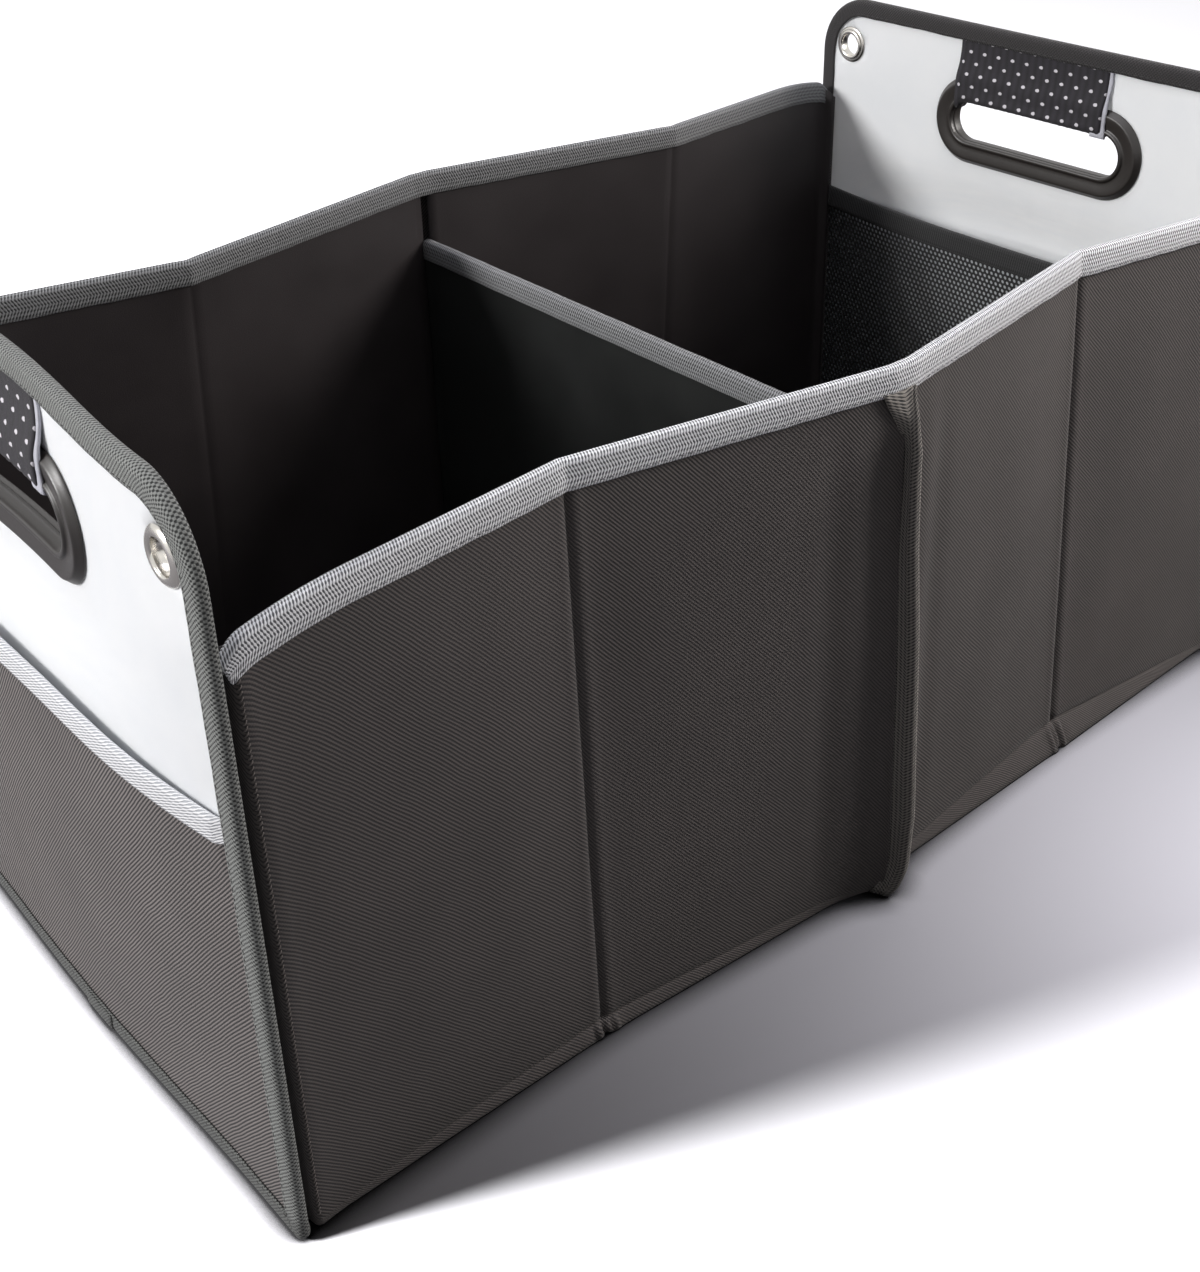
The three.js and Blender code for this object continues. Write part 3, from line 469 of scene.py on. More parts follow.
# Handle grips: black jacquard cloth with a light foam back, wrapped under the ring's upper bar and caught with both
# edges under the edging. Upright ribs 5 mm apart run between rows of small white dots.
dotted_cloth, tree = empty_tree("jacquard_cloth_woven_dots")
place = node(tree, "ShaderNodeUVMap", uv_map="UVMap")
dots = []
for shift in (0.0, 0.5):
    scaled = node(tree, "ShaderNodeVectorMath", {0: place.outputs[0], 1: (1 / 13.2, 1 / 10.2, 0),
                                                 2: (shift, shift, 0)}, operation="MULTIPLY_ADD")
    cell = node(tree, "ShaderNodeVectorMath", {0: scaled.outputs[0]}, operation="FRACTION")
    centred = node(tree, "ShaderNodeVectorMath", {0: cell.outputs[0], 1: (13.2, 10.2, 0), 2: (-6.6, -5.1, 0)},
                   operation="MULTIPLY_ADD")
    oval = node(tree, "ShaderNodeVectorMath", {0: centred.outputs[0], 1: (1 / 0.95, 1 / 1.35, 0)}, operation="MULTIPLY")
    dots.append(node(tree, "ShaderNodeVectorMath", {0: oval.outputs[0]}, operation="LENGTH"))
nearest = node(tree, "ShaderNodeMath", {0: dots[0].outputs["Value"], 1: dots[1].outputs["Value"]}, operation="MINIMUM")
fuzz = node(tree, "ShaderNodeTexNoise", {"Vector": place.outputs[0], "Scale": 1.6, "Detail": 3.0})
ragged = node(tree, "ShaderNodeMath", {0: fuzz.outputs[0], 1: 0.7, 2: nearest.outputs[0]}, operation="MULTIPLY_ADD")
dot = node(tree, "ShaderNodeMapRange", {"Value": ragged.outputs[0], "From Min": 1.2, "From Max": 1.45, "To Min": 1.0,
                                        "To Max": 0.0})
ribs = node(tree, "ShaderNodeVectorMath", {0: place.outputs[0], 1: (0, math.tau / 5.1, 0)}, operation="DOT_PRODUCT")
rib = node(tree, "ShaderNodeMath", {0: ribs.outputs["Value"]}, operation="SINE")
ground = node(tree, "ShaderNodeMapRange", {"Value": rib.outputs[0], "From Min": -1.0})
ground = node(tree, "ShaderNodeMix", {"Factor": ground.outputs[0], "A": linear("#141216"), "B": linear("#29262c")},
              data_type="RGBA")
colour = node(tree, "ShaderNodeMix", {"Factor": dot.outputs[0], "A": ground.outputs["Result"], "B": linear("#d8d4da")},
              data_type="RGBA")
fine = node(tree, "ShaderNodeTexNoise", {"Vector": place.outputs[0], "Scale": 3.5, "Detail": 2.0})
height = node(tree, "ShaderNodeMath", {0: dot.outputs[0], 1: 0.6, 2: fine.outputs[0]}, operation="MULTIPLY_ADD")
bumps = node(tree, "ShaderNodeBump", {"Height": height.outputs[0], "Strength": 0.6, "Distance": 0.0004})
skin = node(tree, "ShaderNodeBsdfPrincipled", {"Base Color": colour.outputs["Result"], "Roughness": 0.85,
            "Normal": bumps.outputs[0], "Sheen Weight": 0.15, "Sheen Roughness": 0.4})
node(tree, "ShaderNodeOutputMaterial", {"Surface": skin.outputs[0]})


# The foam back shows as a pale raw edge at the front end of each grip.
pale_foam, tree = empty_tree("polyether_foam_pale")
cells = node(tree, "ShaderNodeTexVoronoi", {"Scale": 1600.0})
colour = node(tree, "ShaderNodeMix", {"Factor": cells.outputs["Distance"], "A": linear("#e6e6ee"),
              "B": linear("#b9b9c4")}, data_type="RGBA")
bumps = node(tree, "ShaderNodeBump", {"Height": cells.outputs["Distance"], "Strength": 0.5, "Distance": 0.0003})
skin = node(tree, "ShaderNodeBsdfPrincipled", {"Base Color": colour.outputs["Result"], "Roughness": 0.9,
            "Normal": bumps.outputs[0]})
node(tree, "ShaderNodeOutputMaterial", {"Surface": skin.outputs[0]})


def softened(line, times):
    for _ in range(times):
        cut = [line[0]]
        for a, b in zip(line, line[1:]):
            cut += [tuple(p * 0.75 + q * 0.25 for p, q in zip(a, b)), tuple(p * 0.25 + q * 0.75 for p, q in zip(a, b))]
        line = cut + [line[-1]]
    return line


for end_name, end in ends:
    rows = []
    for i in range(53):
        y = -47 + 2 * i
        past = max(0.0, abs(y) - hand_straight)
        low = hand_centre + math.sqrt(11.45 ** 2 - past ** 2)
        half = [(2.05, 318.5), (2.1, 312), (3.2, 304), (6.0, 297), (6.15, 290), (6.15, low + 3), (5.0, low + 0.7), (2.6, low)]
        line = softened([(-w, z) for w, z in half] + [(w, z) for w, z in half[::-1]], 2)
        ends_in = 0.8 * max(0.0, (abs(y - 5) - 49) / 3)
        row = [end_point(end, 3.2 + w * (1 - 0.06 * ends_in), y, z) for w, z in line]
        rows.append(row if end < 0 else row[::-1])
    grip = woven_piece(f"{end_name}_grip_wrap", rows, dotted_cloth)
    count = len(rows[0])
    held = grip.vertex_groups.new(name="held")
    for i in range(len(rows)):
        edge = max(0.0, 1 - min(i, len(rows) - 1 - i) / 2)
        for j in range(count):
            under = 1.0 if min(j, count - 1 - j) < 4 else 0.0
            held.add([i * count + j], max(under, edge * 0.9), "REPLACE")
    start = [v.co.copy() for v in grip.data.vertices]
    puff = grip.modifiers.new("puff", "CLOTH")
    puff.settings.quality = 6
    puff.settings.mass = 0.2
    puff.settings.use_pressure = True
    puff.settings.uniform_pressure_force = 3.0
    puff.settings.tension_stiffness = 25
    puff.settings.compression_stiffness = 25
    puff.settings.bending_stiffness = 2.0
    puff.settings.vertex_group_mass = "held"
    puff.settings.effector_weights.gravity = 0
    puff.point_cache.frame_start = 1
    puff.point_cache.frame_end = 16
    for step in range(1, 17):
        scene.frame_set(step)
    settled = grip.evaluated_get(bpy.context.evaluated_depsgraph_get())
    moved = [v.co.copy() for v in settled.data.vertices]
    grip.modifiers.remove(puff)
    for vertex, before, after in zip(grip.data.vertices, start, moved):
        step = after - before
        vertex.co = before + step * min(1.0, 0.0016 / max(step.length, 1e-9))
    scene.frame_set(1)
    grip.data.update()
    for vertex in grip.data.vertices:
        lift = 0.0003 * math.sin(vertex.co.y * 1000 * math.tau / 5.1)
        vertex.co.x += lift * (1 if vertex.co.x * end > abs(end_point(end, 3.2, vertex.co.y * 1000, 290).x) * 0.001 else -1) * end
    shell = grip.modifiers.new("thickness", "SOLIDIFY")
    shell.thickness = 0.0014
    shell.offset = 0
    rows = []
    for y in (-40, -44, -47, -48.3, -49.2):
        low = hand_centre + math.sqrt(11.3 ** 2 - max(0.0, -y - hand_straight) ** 2)
        line = softened([(-w, z) for w, z in half[:-2]] + [(-4.4, low + 0.8), (0, low + 0.1), (4.4, low + 0.8)]
                        + [(w, z) for w, z in half[:-2][::-1]], 2)
        trim = 0.88 - 0.1 * max(0.0, -y - 47.7)
        row = [end_point(end, 3.2 + w * trim, y + waver(z * 4, 0.7), z) for w, z in line]
        rows.append(row if end < 0 else row[::-1])
    foam = woven_piece(f"{end_name}_grip_foam_edge", rows, pale_foam, thickness=1.0)
    for piece in (grip, foam):
        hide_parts(f"{end_name}_handle_grip")
        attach(piece, "root")


# Eyelets: brass pressed and nickel plated, rolled over a washer on the inner side. Plated brass mirrors the room with
# a warm tint and fine polishing scratches.
nickel, tree = empty_tree("nickel_plated_brass")
scuff = node(tree, "ShaderNodeTexNoise", {"Scale": 500.0, "Detail": 4.0})
rough = node(tree, "ShaderNodeMapRange", {"Value": scuff.outputs[0], "To Min": 0.1, "To Max": 0.3})
colour = node(tree, "ShaderNodeMix", {"Factor": scuff.outputs[0], "A": linear("#dedbd5"), "B": linear("#c2beb7")},
              data_type="RGBA")
bumps = node(tree, "ShaderNodeBump", {"Height": scuff.outputs[0], "Strength": 0.1, "Distance": 0.0001})
skin = node(tree, "ShaderNodeBsdfPrincipled", {"Base Color": colour.outputs["Result"], "Roughness": rough.outputs[0],
            "Metallic": 1.0, "Normal": bumps.outputs[0]})
node(tree, "ShaderNodeOutputMaterial", {"Surface": skin.outputs[0]})

eyelet_section = [(6.6, 5.5), (6.6, 3.0), (6.6, 1.2), (6.75, 0.6), (7.2, 0.1), (7.9, -0.1), (8.7, -0.05), (9.6, 0.35),
                  (10.4, 0.95), (10.9, 1.5), (11.0, 1.8), (10.8, 1.9), (7.4, 1.9), (7.4, 5.6), (8.6, 5.6), (9.1, 5.7),
                  (9.0, 6.0), (8.3, 6.35), (7.6, 6.4), (6.9, 6.15)]
washer_section = [(7.7, 4.5), (10.7, 4.5), (11.0, 4.65), (10.9, 4.9), (9.9, 5.2), (8.6, 5.3), (7.7, 5.3)]
for end_name, end in ends:
    for side_name, side in sides:
        for kind, section in (("eyelet", eyelet_section), ("eyelet_washer", washer_section)):
            rows = [[Vector((end * (half_length - depth), side * eyelet_y + reach * math.cos(math.tau * i / 56),
                             eyelet_z + reach * math.sin(math.tau * i / 56))) for reach, depth in section]
                    for i in range(56)]
            piece = woven_piece(f"{end_name}_{side_name}_{kind}_pressing", rows, nickel, round_rows=True,
                                round_columns=True)
            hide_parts(f"{end_name}_{side_name}_{kind}")
            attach(piece, "root")


# Outer pockets: one sheet of polyester twill sewn in with the edging at both sides and the foot. Its mouth hangs open
# and is bound with a pale ribbed tape.
mouth_half = 157.6
pocket_height = 201


def bulge(y, z, height, amount):
    across = max(0.0, 1 - (y / mouth_half) ** 2)
    up = min(max((z - 14) / (height - 14), 0.0), 1.0)
    mouth = min(max((z - height + 30) / 16, 0.0), 1.0) if abs(y) <= mouth_half else 0.0
    return amount * across * math.sin(up * math.pi / 2) + mouth * 1.4


# Polyester twill: pale diagonal ribs 1.3 mm apart over dark gaps, broken into short floats, with slow changes of
# tone where the cloth was creased.
def twill(name, rib_colour, gap_colour, lean, pitch, contrast):
    material, tree = empty_tree(name)
    place = node(tree, "ShaderNodeUVMap", uv_map="UVMap")
    drift = node(tree, "ShaderNodeTexNoise", {"Vector": place.outputs[0], "Scale": 0.03, "Detail": 2.0})
    direction = (math.tau * math.cos(lean) / pitch, math.tau * math.sin(lean) / pitch, 0)
    run = node(tree, "ShaderNodeVectorMath", {0: place.outputs[0], 1: direction}, operation="DOT_PRODUCT")
    bent = node(tree, "ShaderNodeMath", {0: drift.outputs[0], 1: 9.0, 2: run.outputs["Value"]},
                operation="MULTIPLY_ADD")
    rib = node(tree, "ShaderNodeMath", {0: bent.outputs[0]}, operation="SINE")
    cross = (-math.tau * math.sin(lean) / pitch / 1.1, math.tau * math.cos(lean) / pitch / 1.1, 0)
    float_run = node(tree, "ShaderNodeVectorMath", {0: place.outputs[0], 1: cross}, operation="DOT_PRODUCT")
    floats = node(tree, "ShaderNodeMath", {0: float_run.outputs["Value"]}, operation="SINE")
    woven = node(tree, "ShaderNodeMath", {0: floats.outputs[0], 1: 0.15, 2: rib.outputs[0]}, operation="MULTIPLY_ADD")
    fuzz = node(tree, "ShaderNodeTexNoise", {"Vector": place.outputs[0], "Scale": 1.3, "Detail": 3.0})
    rough_weave = node(tree, "ShaderNodeMath", {0: fuzz.outputs[0], 1: 0.9, 2: woven.outputs[0]},
                       operation="MULTIPLY_ADD")
    height = node(tree, "ShaderNodeMapRange", {"Value": rough_weave.outputs[0], "From Min": -0.35, "From Max": 1.25},
                  interpolation_type="SMOOTHSTEP")
    tone = node(tree, "ShaderNodeMix", {"Factor": height.outputs[0], "A": linear(gap_colour), "B": linear(rib_colour)},
                data_type="RGBA")
    patch = node(tree, "ShaderNodeTexNoise", {"Vector": place.outputs[0], "Scale": 0.018, "Detail": 3.0})
    shade = node(tree, "ShaderNodeMapRange", {"Value": patch.outputs[0], "From Min": 0.25, "From Max": 0.75,
                                              "To Min": 0.86, "To Max": 1.12})
    colour = node(tree, "ShaderNodeVectorMath", {0: tone.outputs["Result"], "Scale": shade.outputs[0]},
                  operation="SCALE")
    bumps = node(tree, "ShaderNodeBump", {"Height": height.outputs[0], "Strength": contrast, "Distance": 0.0004})
    skin = node(tree, "ShaderNodeBsdfPrincipled", {"Base Color": colour.outputs[0], "Roughness": 0.82,
                "Normal": bumps.outputs[0], "Sheen Weight": 0.1, "Sheen Roughness": 0.45})
    node(tree, "ShaderNodeOutputMaterial", {"Surface": skin.outputs[0]})
    return material


pocket_twill = twill("polyester_twill_pocket", "#807977", "#181516", 0.74, 1.3, 0.6)


# Ribbed binding: fine cross ribs, pale on their crowns and darker between, that turn at each half of the tape's face
# as a herringbone where the zone is narrow.
def ribbed_tape(name, crown, between, pitch, lean, zone=60.0):
    material, tree = empty_tree(name)
    place = node(tree, "ShaderNodeUVMap", uv_map="UVMap")
    parts = node(tree, "ShaderNodeSeparateXYZ", {0: place.outputs[0]})
    turned = node(tree, "ShaderNodeMath", {0: parts.outputs["X"], 1: zone}, operation="PINGPONG")
    along = node(tree, "ShaderNodeMath", {0: turned.outputs[0], 1: lean, 2: parts.outputs["Y"]},
                 operation="MULTIPLY_ADD")
    drift = node(tree, "ShaderNodeTexNoise", {"Vector": place.outputs[0], "Scale": 0.12, "Detail": 2.0})
    bent = node(tree, "ShaderNodeMath", {0: drift.outputs[0], 1: 0.8, 2: along.outputs[0]}, operation="MULTIPLY_ADD")
    wave = node(tree, "ShaderNodeMath", {0: bent.outputs[0], 1: math.tau / pitch}, operation="MULTIPLY")
    rib = node(tree, "ShaderNodeMath", {0: wave.outputs[0]}, operation="SINE")
    across = node(tree, "ShaderNodeMath", {0: parts.outputs["X"], 1: math.tau / 2.0}, operation="MULTIPLY")
    pick = node(tree, "ShaderNodeMath", {0: across.outputs[0]}, operation="SINE")
    woven = node(tree, "ShaderNodeMath", {0: pick.outputs[0], 1: 0.55, 2: rib.outputs[0]}, operation="MULTIPLY_ADD")
    fuzz = node(tree, "ShaderNodeTexNoise", {"Vector": place.outputs[0], "Scale": 1.5, "Detail": 3.0})
    rough_weave = node(tree, "ShaderNodeMath", {0: fuzz.outputs[0], 1: 0.9, 2: woven.outputs[0]},
                       operation="MULTIPLY_ADD")
    height = node(tree, "ShaderNodeMapRange", {"Value": rough_weave.outputs[0], "From Min": -0.6, "From Max": 1.1},
                  interpolation_type="SMOOTHSTEP")
    colour = node(tree, "ShaderNodeMix", {"Factor": height.outputs[0], "A": linear(between), "B": linear(crown)},
                  data_type="RGBA")
    bumps = node(tree, "ShaderNodeBump", {"Height": height.outputs[0], "Strength": 0.7, "Distance": 0.0004})
    skin = node(tree, "ShaderNodeBsdfPrincipled", {"Base Color": colour.outputs["Result"], "Roughness": 0.75,
                "Normal": bumps.outputs[0], "Sheen Weight": 0.1, "Sheen Roughness": 0.5})
    node(tree, "ShaderNodeOutputMaterial", {"Surface": skin.outputs[0]})
    return material


pale_tape = ribbed_tape("polypropylene_ribbed_tape_pale", "#eff0f4", "#505056", 1.35, -0.45, 5.0)
mouth_tape = ribbed_tape("polypropylene_ribbed_tape_mouth", "#f2f2f4", "#a6a8ae", 2.6, -2.13)


def pocket_rows(end, low, half, height, middle, amount, way, crumple):
    rows = []
    levels = [low + (height - low) * i / 44 for i in range(45)]
    places = [half * math.sin(math.pi / 2 * (i / 40 - 1) * 0.98) / math.sin(math.pi / 2 * 0.98) for i in range(81)]
    for z in levels:
        row = []
        for y in places:
            free = max(0.0, 1 - (y / half) ** 2) * min(1.0, max(0.0, (z - 14) / 60))
            ripple = crumple * free * noise.noise(Vector((y * 0.016 + z * 0.01, z * 0.012, end * 3.0 + way)))
            row.append(end_point(end, middle + way * (bulge(y, z, height, amount) + ripple), y, z))
        rows.append(row if end * way > 0 else row[::-1])
    return rows


for end_name, end in ends:
    amount = 8 + bow(end, 0, pocket_height)
    rows = pocket_rows(end, 2.4, 166.9, pocket_height, 1.5, amount, -1, 0.9)
    pocket = woven_piece(f"{end_name}_pocket_twill", rows, pocket_twill, thickness=0.8)
    line = softened([(0.4, -8.6), (0.35, -4.0), (0.35, 0.3), (0.7, 1.4), (1.5, 1.7), (2.3, 1.4), (2.65, 0.3),
                     (2.65, -4.0), (2.6, -8.6)], 1)
    tape_rows = []
    for i in range(109):
        y = -162 + 3 * i
        flat = 0.35 if abs(y) > 158 else 1.0
        tape_rows.append([end_point(end, 1.5 + (depth - 1.5) * flat
                                    - bulge(y, pocket_height + min(rise, 0), pocket_height, amount)
                                    - 0.9 * max(0.0, 1 - (y / 166.9) ** 2)
                                    * noise.noise(Vector((y * 0.016 + (pocket_height + rise) * 0.01,
                                                          (pocket_height + rise) * 0.012, end * 3.0 - 1))),
                                    y, pocket_height + rise) for depth, rise in line])
    tape_rows = tape_rows if end > 0 else [row[::-1] for row in tape_rows]
    tape = woven_piece(f"{end_name}_pocket_mouth_tape", tape_rows, mouth_tape, thickness=0.8)
    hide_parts(f"{end_name}_outer_pocket")
    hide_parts(f"{end_name}_outer_pocket_tape")
    for piece, finish in ((pocket, "pocket_cloth"), (tape, "pocket_tape")):
        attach(piece, "root")


# Mesh pockets: black knitted polyester net with round holes 3.5 mm apart, sewn inside each end and bound with black
# tape. The light passes through the holes.
black_net, tree = empty_tree("polyester_hole_net")
place = node(tree, "ShaderNodeUVMap", uv_map="UVMap")
holes = []
for shift in (0.0, 0.5):
    scaled = node(tree, "ShaderNodeVectorMath", {0: place.outputs[0], 1: (1 / 3.5, 1 / 6.06, 0), 2: (shift, shift, 0)},
                  operation="MULTIPLY_ADD")
    cell = node(tree, "ShaderNodeVectorMath", {0: scaled.outputs[0]}, operation="FRACTION")
    centred = node(tree, "ShaderNodeVectorMath", {0: cell.outputs[0], 1: (3.5, 6.06, 0), 2: (-1.75, -3.03, 0)},
                   operation="MULTIPLY_ADD")
    holes.append(node(tree, "ShaderNodeVectorMath", {0: centred.outputs[0]}, operation="LENGTH"))
nearest = node(tree, "ShaderNodeMath", {0: holes[0].outputs["Value"], 1: holes[1].outputs["Value"]}, operation="MINIMUM")
thread = node(tree, "ShaderNodeMapRange", {"Value": nearest.outputs[0], "From Min": 1.1, "From Max": 1.25})
knit = node(tree, "ShaderNodeTexNoise", {"Vector": place.outputs[0], "Scale": 2.5, "Detail": 2.0})
colour = node(tree, "ShaderNodeMix", {"Factor": knit.outputs[0], "A": linear("#0f0f10"), "B": linear("#2b2b2d")},
              data_type="RGBA")
bumps = node(tree, "ShaderNodeBump", {"Height": knit.outputs[0], "Strength": 0.5, "Distance": 0.0003})
skin = node(tree, "ShaderNodeBsdfPrincipled", {"Base Color": colour.outputs["Result"], "Roughness": 0.7,
            "Normal": bumps.outputs[0], "Alpha": thread.outputs[0]})
node(tree, "ShaderNodeOutputMaterial", {"Surface": skin.outputs[0]})
black_tape = ribbed_tape("polypropylene_ribbed_tape_black", "#2a2a2b", "#0c0c0d", 1.6, 0.2)

for end_name, end in ends:
    rows = pocket_rows(end, 2.4, 157.6, 203, 4.8, 12, 1, 1.6)
    net = woven_piece(f"{end_name}_pocket_net", rows, black_net, thickness=0.5)
    line = softened([(3.8, -11.0), (3.75, -5.0), (3.75, 0.3), (4.1, 1.4), (4.8, 1.7), (5.5, 1.4), (5.85, 0.3),
                     (5.85, -5.0), (5.8, -11.0)], 1)
    tape_rows = []
    for i in range(106):
        y = -157.5 + 3 * i
        top = [end_point(end, depth + bulge(y, 203 + min(rise, 0), 203, 12)
                         + 1.6 * max(0.0, 1 - (y / 157.6) ** 2)
                         * noise.noise(Vector((y * 0.016 + (203 + rise) * 0.01, (203 + rise) * 0.012, end * 3.0 + 1))),
                         y, 203 + rise) for depth, rise in line]
        tape_rows.append(top[::-1] if end > 0 else top)
    tape = woven_piece(f"{end_name}_net_mouth_tape", tape_rows, black_tape, thickness=0.8)
    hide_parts(f"{end_name}_mesh_pocket")
    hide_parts(f"{end_name}_mesh_pocket_tape")
    for piece, finish in ((net, "mesh"), (tape, "mesh_tape")):
        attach(piece, "root")


# Walls: each side is two lengths of polyester twill outside and a coated lining inside, with a fibreboard panel
# between them on either side of each crease. The outer cloth comes from a groove beside the end panel and turns out
# into the centre seam.
wall_height = 276
centre_bulge = 9
creases = {(-1, -1): (5, 8, 22, 7), (-1, 1): (-1, 7, 25, 14), (1, -1): (3, 8, 31, 9), (1, 1): (3, 8, 24, 9)}


def turned_down(u):
    return 6 * min(1.0, max(0.0, (15 - u) / 8.6)) ** 1.5


def wall_top(u):
    return wall_height - 8 * (1 - min(max(u / 60, 0.0), 1.0)) ** 2 - turned_down(u)


def tent(u):
    if u < 160:
        return max(0.0, (u - 14) / 146)
    return max(0.0, (317 - u) / 157)


def board_foot(fold, u):
    return 3 + (fold[3] - 3) * tent(u)


def inset(fold, u, z):
    foot, top = board_foot(fold, u), wall_top(u)
    if z < foot:
        shift = fold[0] + (fold[1] - fold[0]) * z / foot
    else:
        shift = fold[1] + (fold[2] - fold[1]) * min((z - foot) / (top - foot), 1.0)
    return tent(u) * shift - centre_bulge * min(max((u - 14) / 303, 0.0), 1.0)


def wall_point(end, side, u, v, z):
    return Vector((end * (half_length - u), side * (v - inset(creases[side, end], u, z)), z))


def table(pairs, where):
    for (low, first), (high, second) in zip(pairs, pairs[1:]):
        if where <= high:
            return first + (second - first) * max(0.0, (where - low) / (high - low))
    return pairs[-1][1]


# The seam draws the outer cloth out towards it, most of all near the floor
def drawn_out(u, z):
    out = table([(0, 4.5), (6, 8), (18, 10), (50, 9.5), (100, 7.2), (150, 4.6), (195, 2), (240, 0.8), (268, 0)], z)
    near = min(max((u - 286) / 32, 0.0), 1.0)
    return out * near * near


def dense(line, step):
    made = [line[0]]
    for a, b in zip(line, line[1:]):
        count = max(1, round(math.hypot(b[0] - a[0], b[1] - a[1]) / step))
        made += [tuple(p + (q - p) * i / count for p, q in zip(a, b)) for i in range(1, count + 1)]
    return made


def wall_levels(fold, u, low):
    foot, top = board_foot(fold, u), wall_top(u)
    low = max(low, 10.6 if u < 8 else 0.0)
    foot = max(foot, low + 1.5)
    return ([low + (foot - low) * share for share in (0, 0.25, 0.5, 0.75, 0.9)] + [foot, foot + 0.8, foot + 2.2]
            + [foot + (top - foot) * i / 40 for i in range(1, 41)])


wall_twill = twill("polyester_twill_wall", "#524c4a", "#242122", 2.404, 1.35, 0.5)

cloth_head = [(4.7, 166.5), (4.7, 158.6), (7.4, 158.4), (8.8, 159.0), (9.3, 161.2), (9.6, 163.6), (10.0, 165.4),
              (10.7, 166.3), (12, 166.6), (14.5, 166.3), (19, 165.9), (24, 165.65)]
cloth_tail = [(152, 165.7), (155.5, 165.9), (157.6, 165.6), (159.2, 164.5), (160, 163.9), (160.8, 164.5),
              (162.4, 165.9), (164.5, 166.2), (168, 165.8), (176, 165.6), (286, 165.6), (300, 165.6), (306, 165.6),
              (311, 165.6), (314.5, 165.8), (316.6, 166.1), (317.9, 166.8), (318.6, 168.4)]
for side_name, side in sides:
    for end_name, end in ends:
        fold = creases[side, end]
        line = (dense(cloth_head, 2.0)[:-1] + dense([cloth_head[-1], cloth_tail[0]], 6.0)
                + dense(cloth_tail[:9], 1.0)[1:] + dense(cloth_tail[8:], 3.5)[1:])
        grid = []
        for u, v in line:
            column = []
            for z in wall_levels(fold, u, 0.0):
                share = min(1.0, max(0.0, (z - 6) / 40)) * min(1.0, max(0.0, (wall_top(u) - z - 6) / 40))
                foot = board_foot(fold, u)
                panel = (u - 18) / 134 if u < 160 else (u - 168) / 140
                swell = 0.7 * math.sin(math.pi * panel) * share if 0 < panel < 1 else 0.0
                soft = noise.noise(Vector((u * 0.03, z * 0.009, side * 2.0 + end))) + 0.25
                swell += 0.7 * share * max(-0.15, soft) if 14 < u < 312 else 0.0
                swell += drawn_out(u, z) + (min(0.0, 166.0 - v) * min(1.0, max(0.0, (z - 258) / 8)) if u > 300 else 0)
                # Two soft upright folds beside the seam, and a nick where the cloth turns under the board's foot
                swell += 0.8 * share * math.sin((u - 290) * 0.24) * min(1.0, max(0.0, (u - 270) / 20)) if u < 314 else 0
                deep = 0.6 + 1.7 * tent(u) * (fold[3] - 3) / 11
                swell -= deep * max(0.0, 1 - abs(z - foot - 0.4) / 1.2) * min(1.0, tent(u) * 3)
                if z < foot:
                    pucker = math.exp(-((u - 160) / 7) ** 2) * math.sin(math.pi * z / foot)
                    swell += 1.6 * pucker * math.sin((u - 160) * 1.3 + 0.6) + 1.4 * pucker
                column.append(wall_point(end, side, u, v + swell, z))
            grid.append(column)
        rows = [list(row) for row in zip(*grid)]
        rows = rows if end * side < 0 else [row[::-1] for row in rows]
        cloth = woven_piece(f"{side_name}_{end_name}_wall_twill", rows, wall_twill, thickness=0.8)
        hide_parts(f"{side_name}_wall_{end_name}_cloth")
        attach(cloth, "root")


# The cut edge of the wall cloth is overcast beside the groove: a row of short slanting stitches down each corner.
overcast_thread, tree = empty_tree("spun_polyester_thread_overcast")
twist = node(tree, "ShaderNodeTexNoise", {"Scale": 1800.0, "Detail": 2.0})
colour = node(tree, "ShaderNodeMix", {"Factor": twist.outputs[0], "A": linear("#4a4542"), "B": linear("#7d7672")},
              data_type="RGBA")
skin = node(tree, "ShaderNodeBsdfPrincipled", {"Base Color": colour.outputs["Result"], "Roughness": 0.8})
node(tree, "ShaderNodeOutputMaterial", {"Surface": skin.outputs[0]})
for side_name, side in sides:
    for end_name, end in ends:
        line = [(wall_point(end, side, 10.9, 166.9, 258 - 4 * i), Vector((0, side, 0))) for i in range(64)]
        row = stitched(f"{side_name}_{end_name}_wall_overcast", line, overcast_thread, length=2.6, pitch=2.3,
                       radius=0.3, slant=0.9 if side * end > 0 else -0.9)
        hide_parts(f"{side_name}_wall_{end_name}_cloth")
        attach(row, "root")


# Lining: thin black polyester with a coated back, smooth and nearly flat, drawn over the inner side of the boards.
def coated_cloth(name, dark, light):
    material, tree = empty_tree(name)
    place = node(tree, "ShaderNodeUVMap", uv_map="UVMap")
    fine = node(tree, "ShaderNodeTexNoise", {"Vector": place.outputs[0], "Scale": 1.6, "Detail": 3.0})
    patch = node(tree, "ShaderNodeTexNoise", {"Vector": place.outputs[0], "Scale": 0.02, "Detail": 3.0})
    blend = node(tree, "ShaderNodeMath", {0: fine.outputs[0], 1: patch.outputs[0]}, operation="MULTIPLY")
    colour = node(tree, "ShaderNodeMix", {"Factor": blend.outputs[0], "A": linear(dark), "B": linear(light)},
                  data_type="RGBA")
    rough = node(tree, "ShaderNodeMapRange", {"Value": patch.outputs[0], "To Min": 0.45, "To Max": 0.65})
    bumps = node(tree, "ShaderNodeBump", {"Height": fine.outputs[0], "Strength": 0.3, "Distance": 0.0003})
    skin = node(tree, "ShaderNodeBsdfPrincipled", {"Base Color": colour.outputs["Result"],
                "Roughness": rough.outputs[0], "Normal": bumps.outputs[0], "Specular IOR Level": 0.35})
    node(tree, "ShaderNodeOutputMaterial", {"Surface": skin.outputs[0]})
    return material


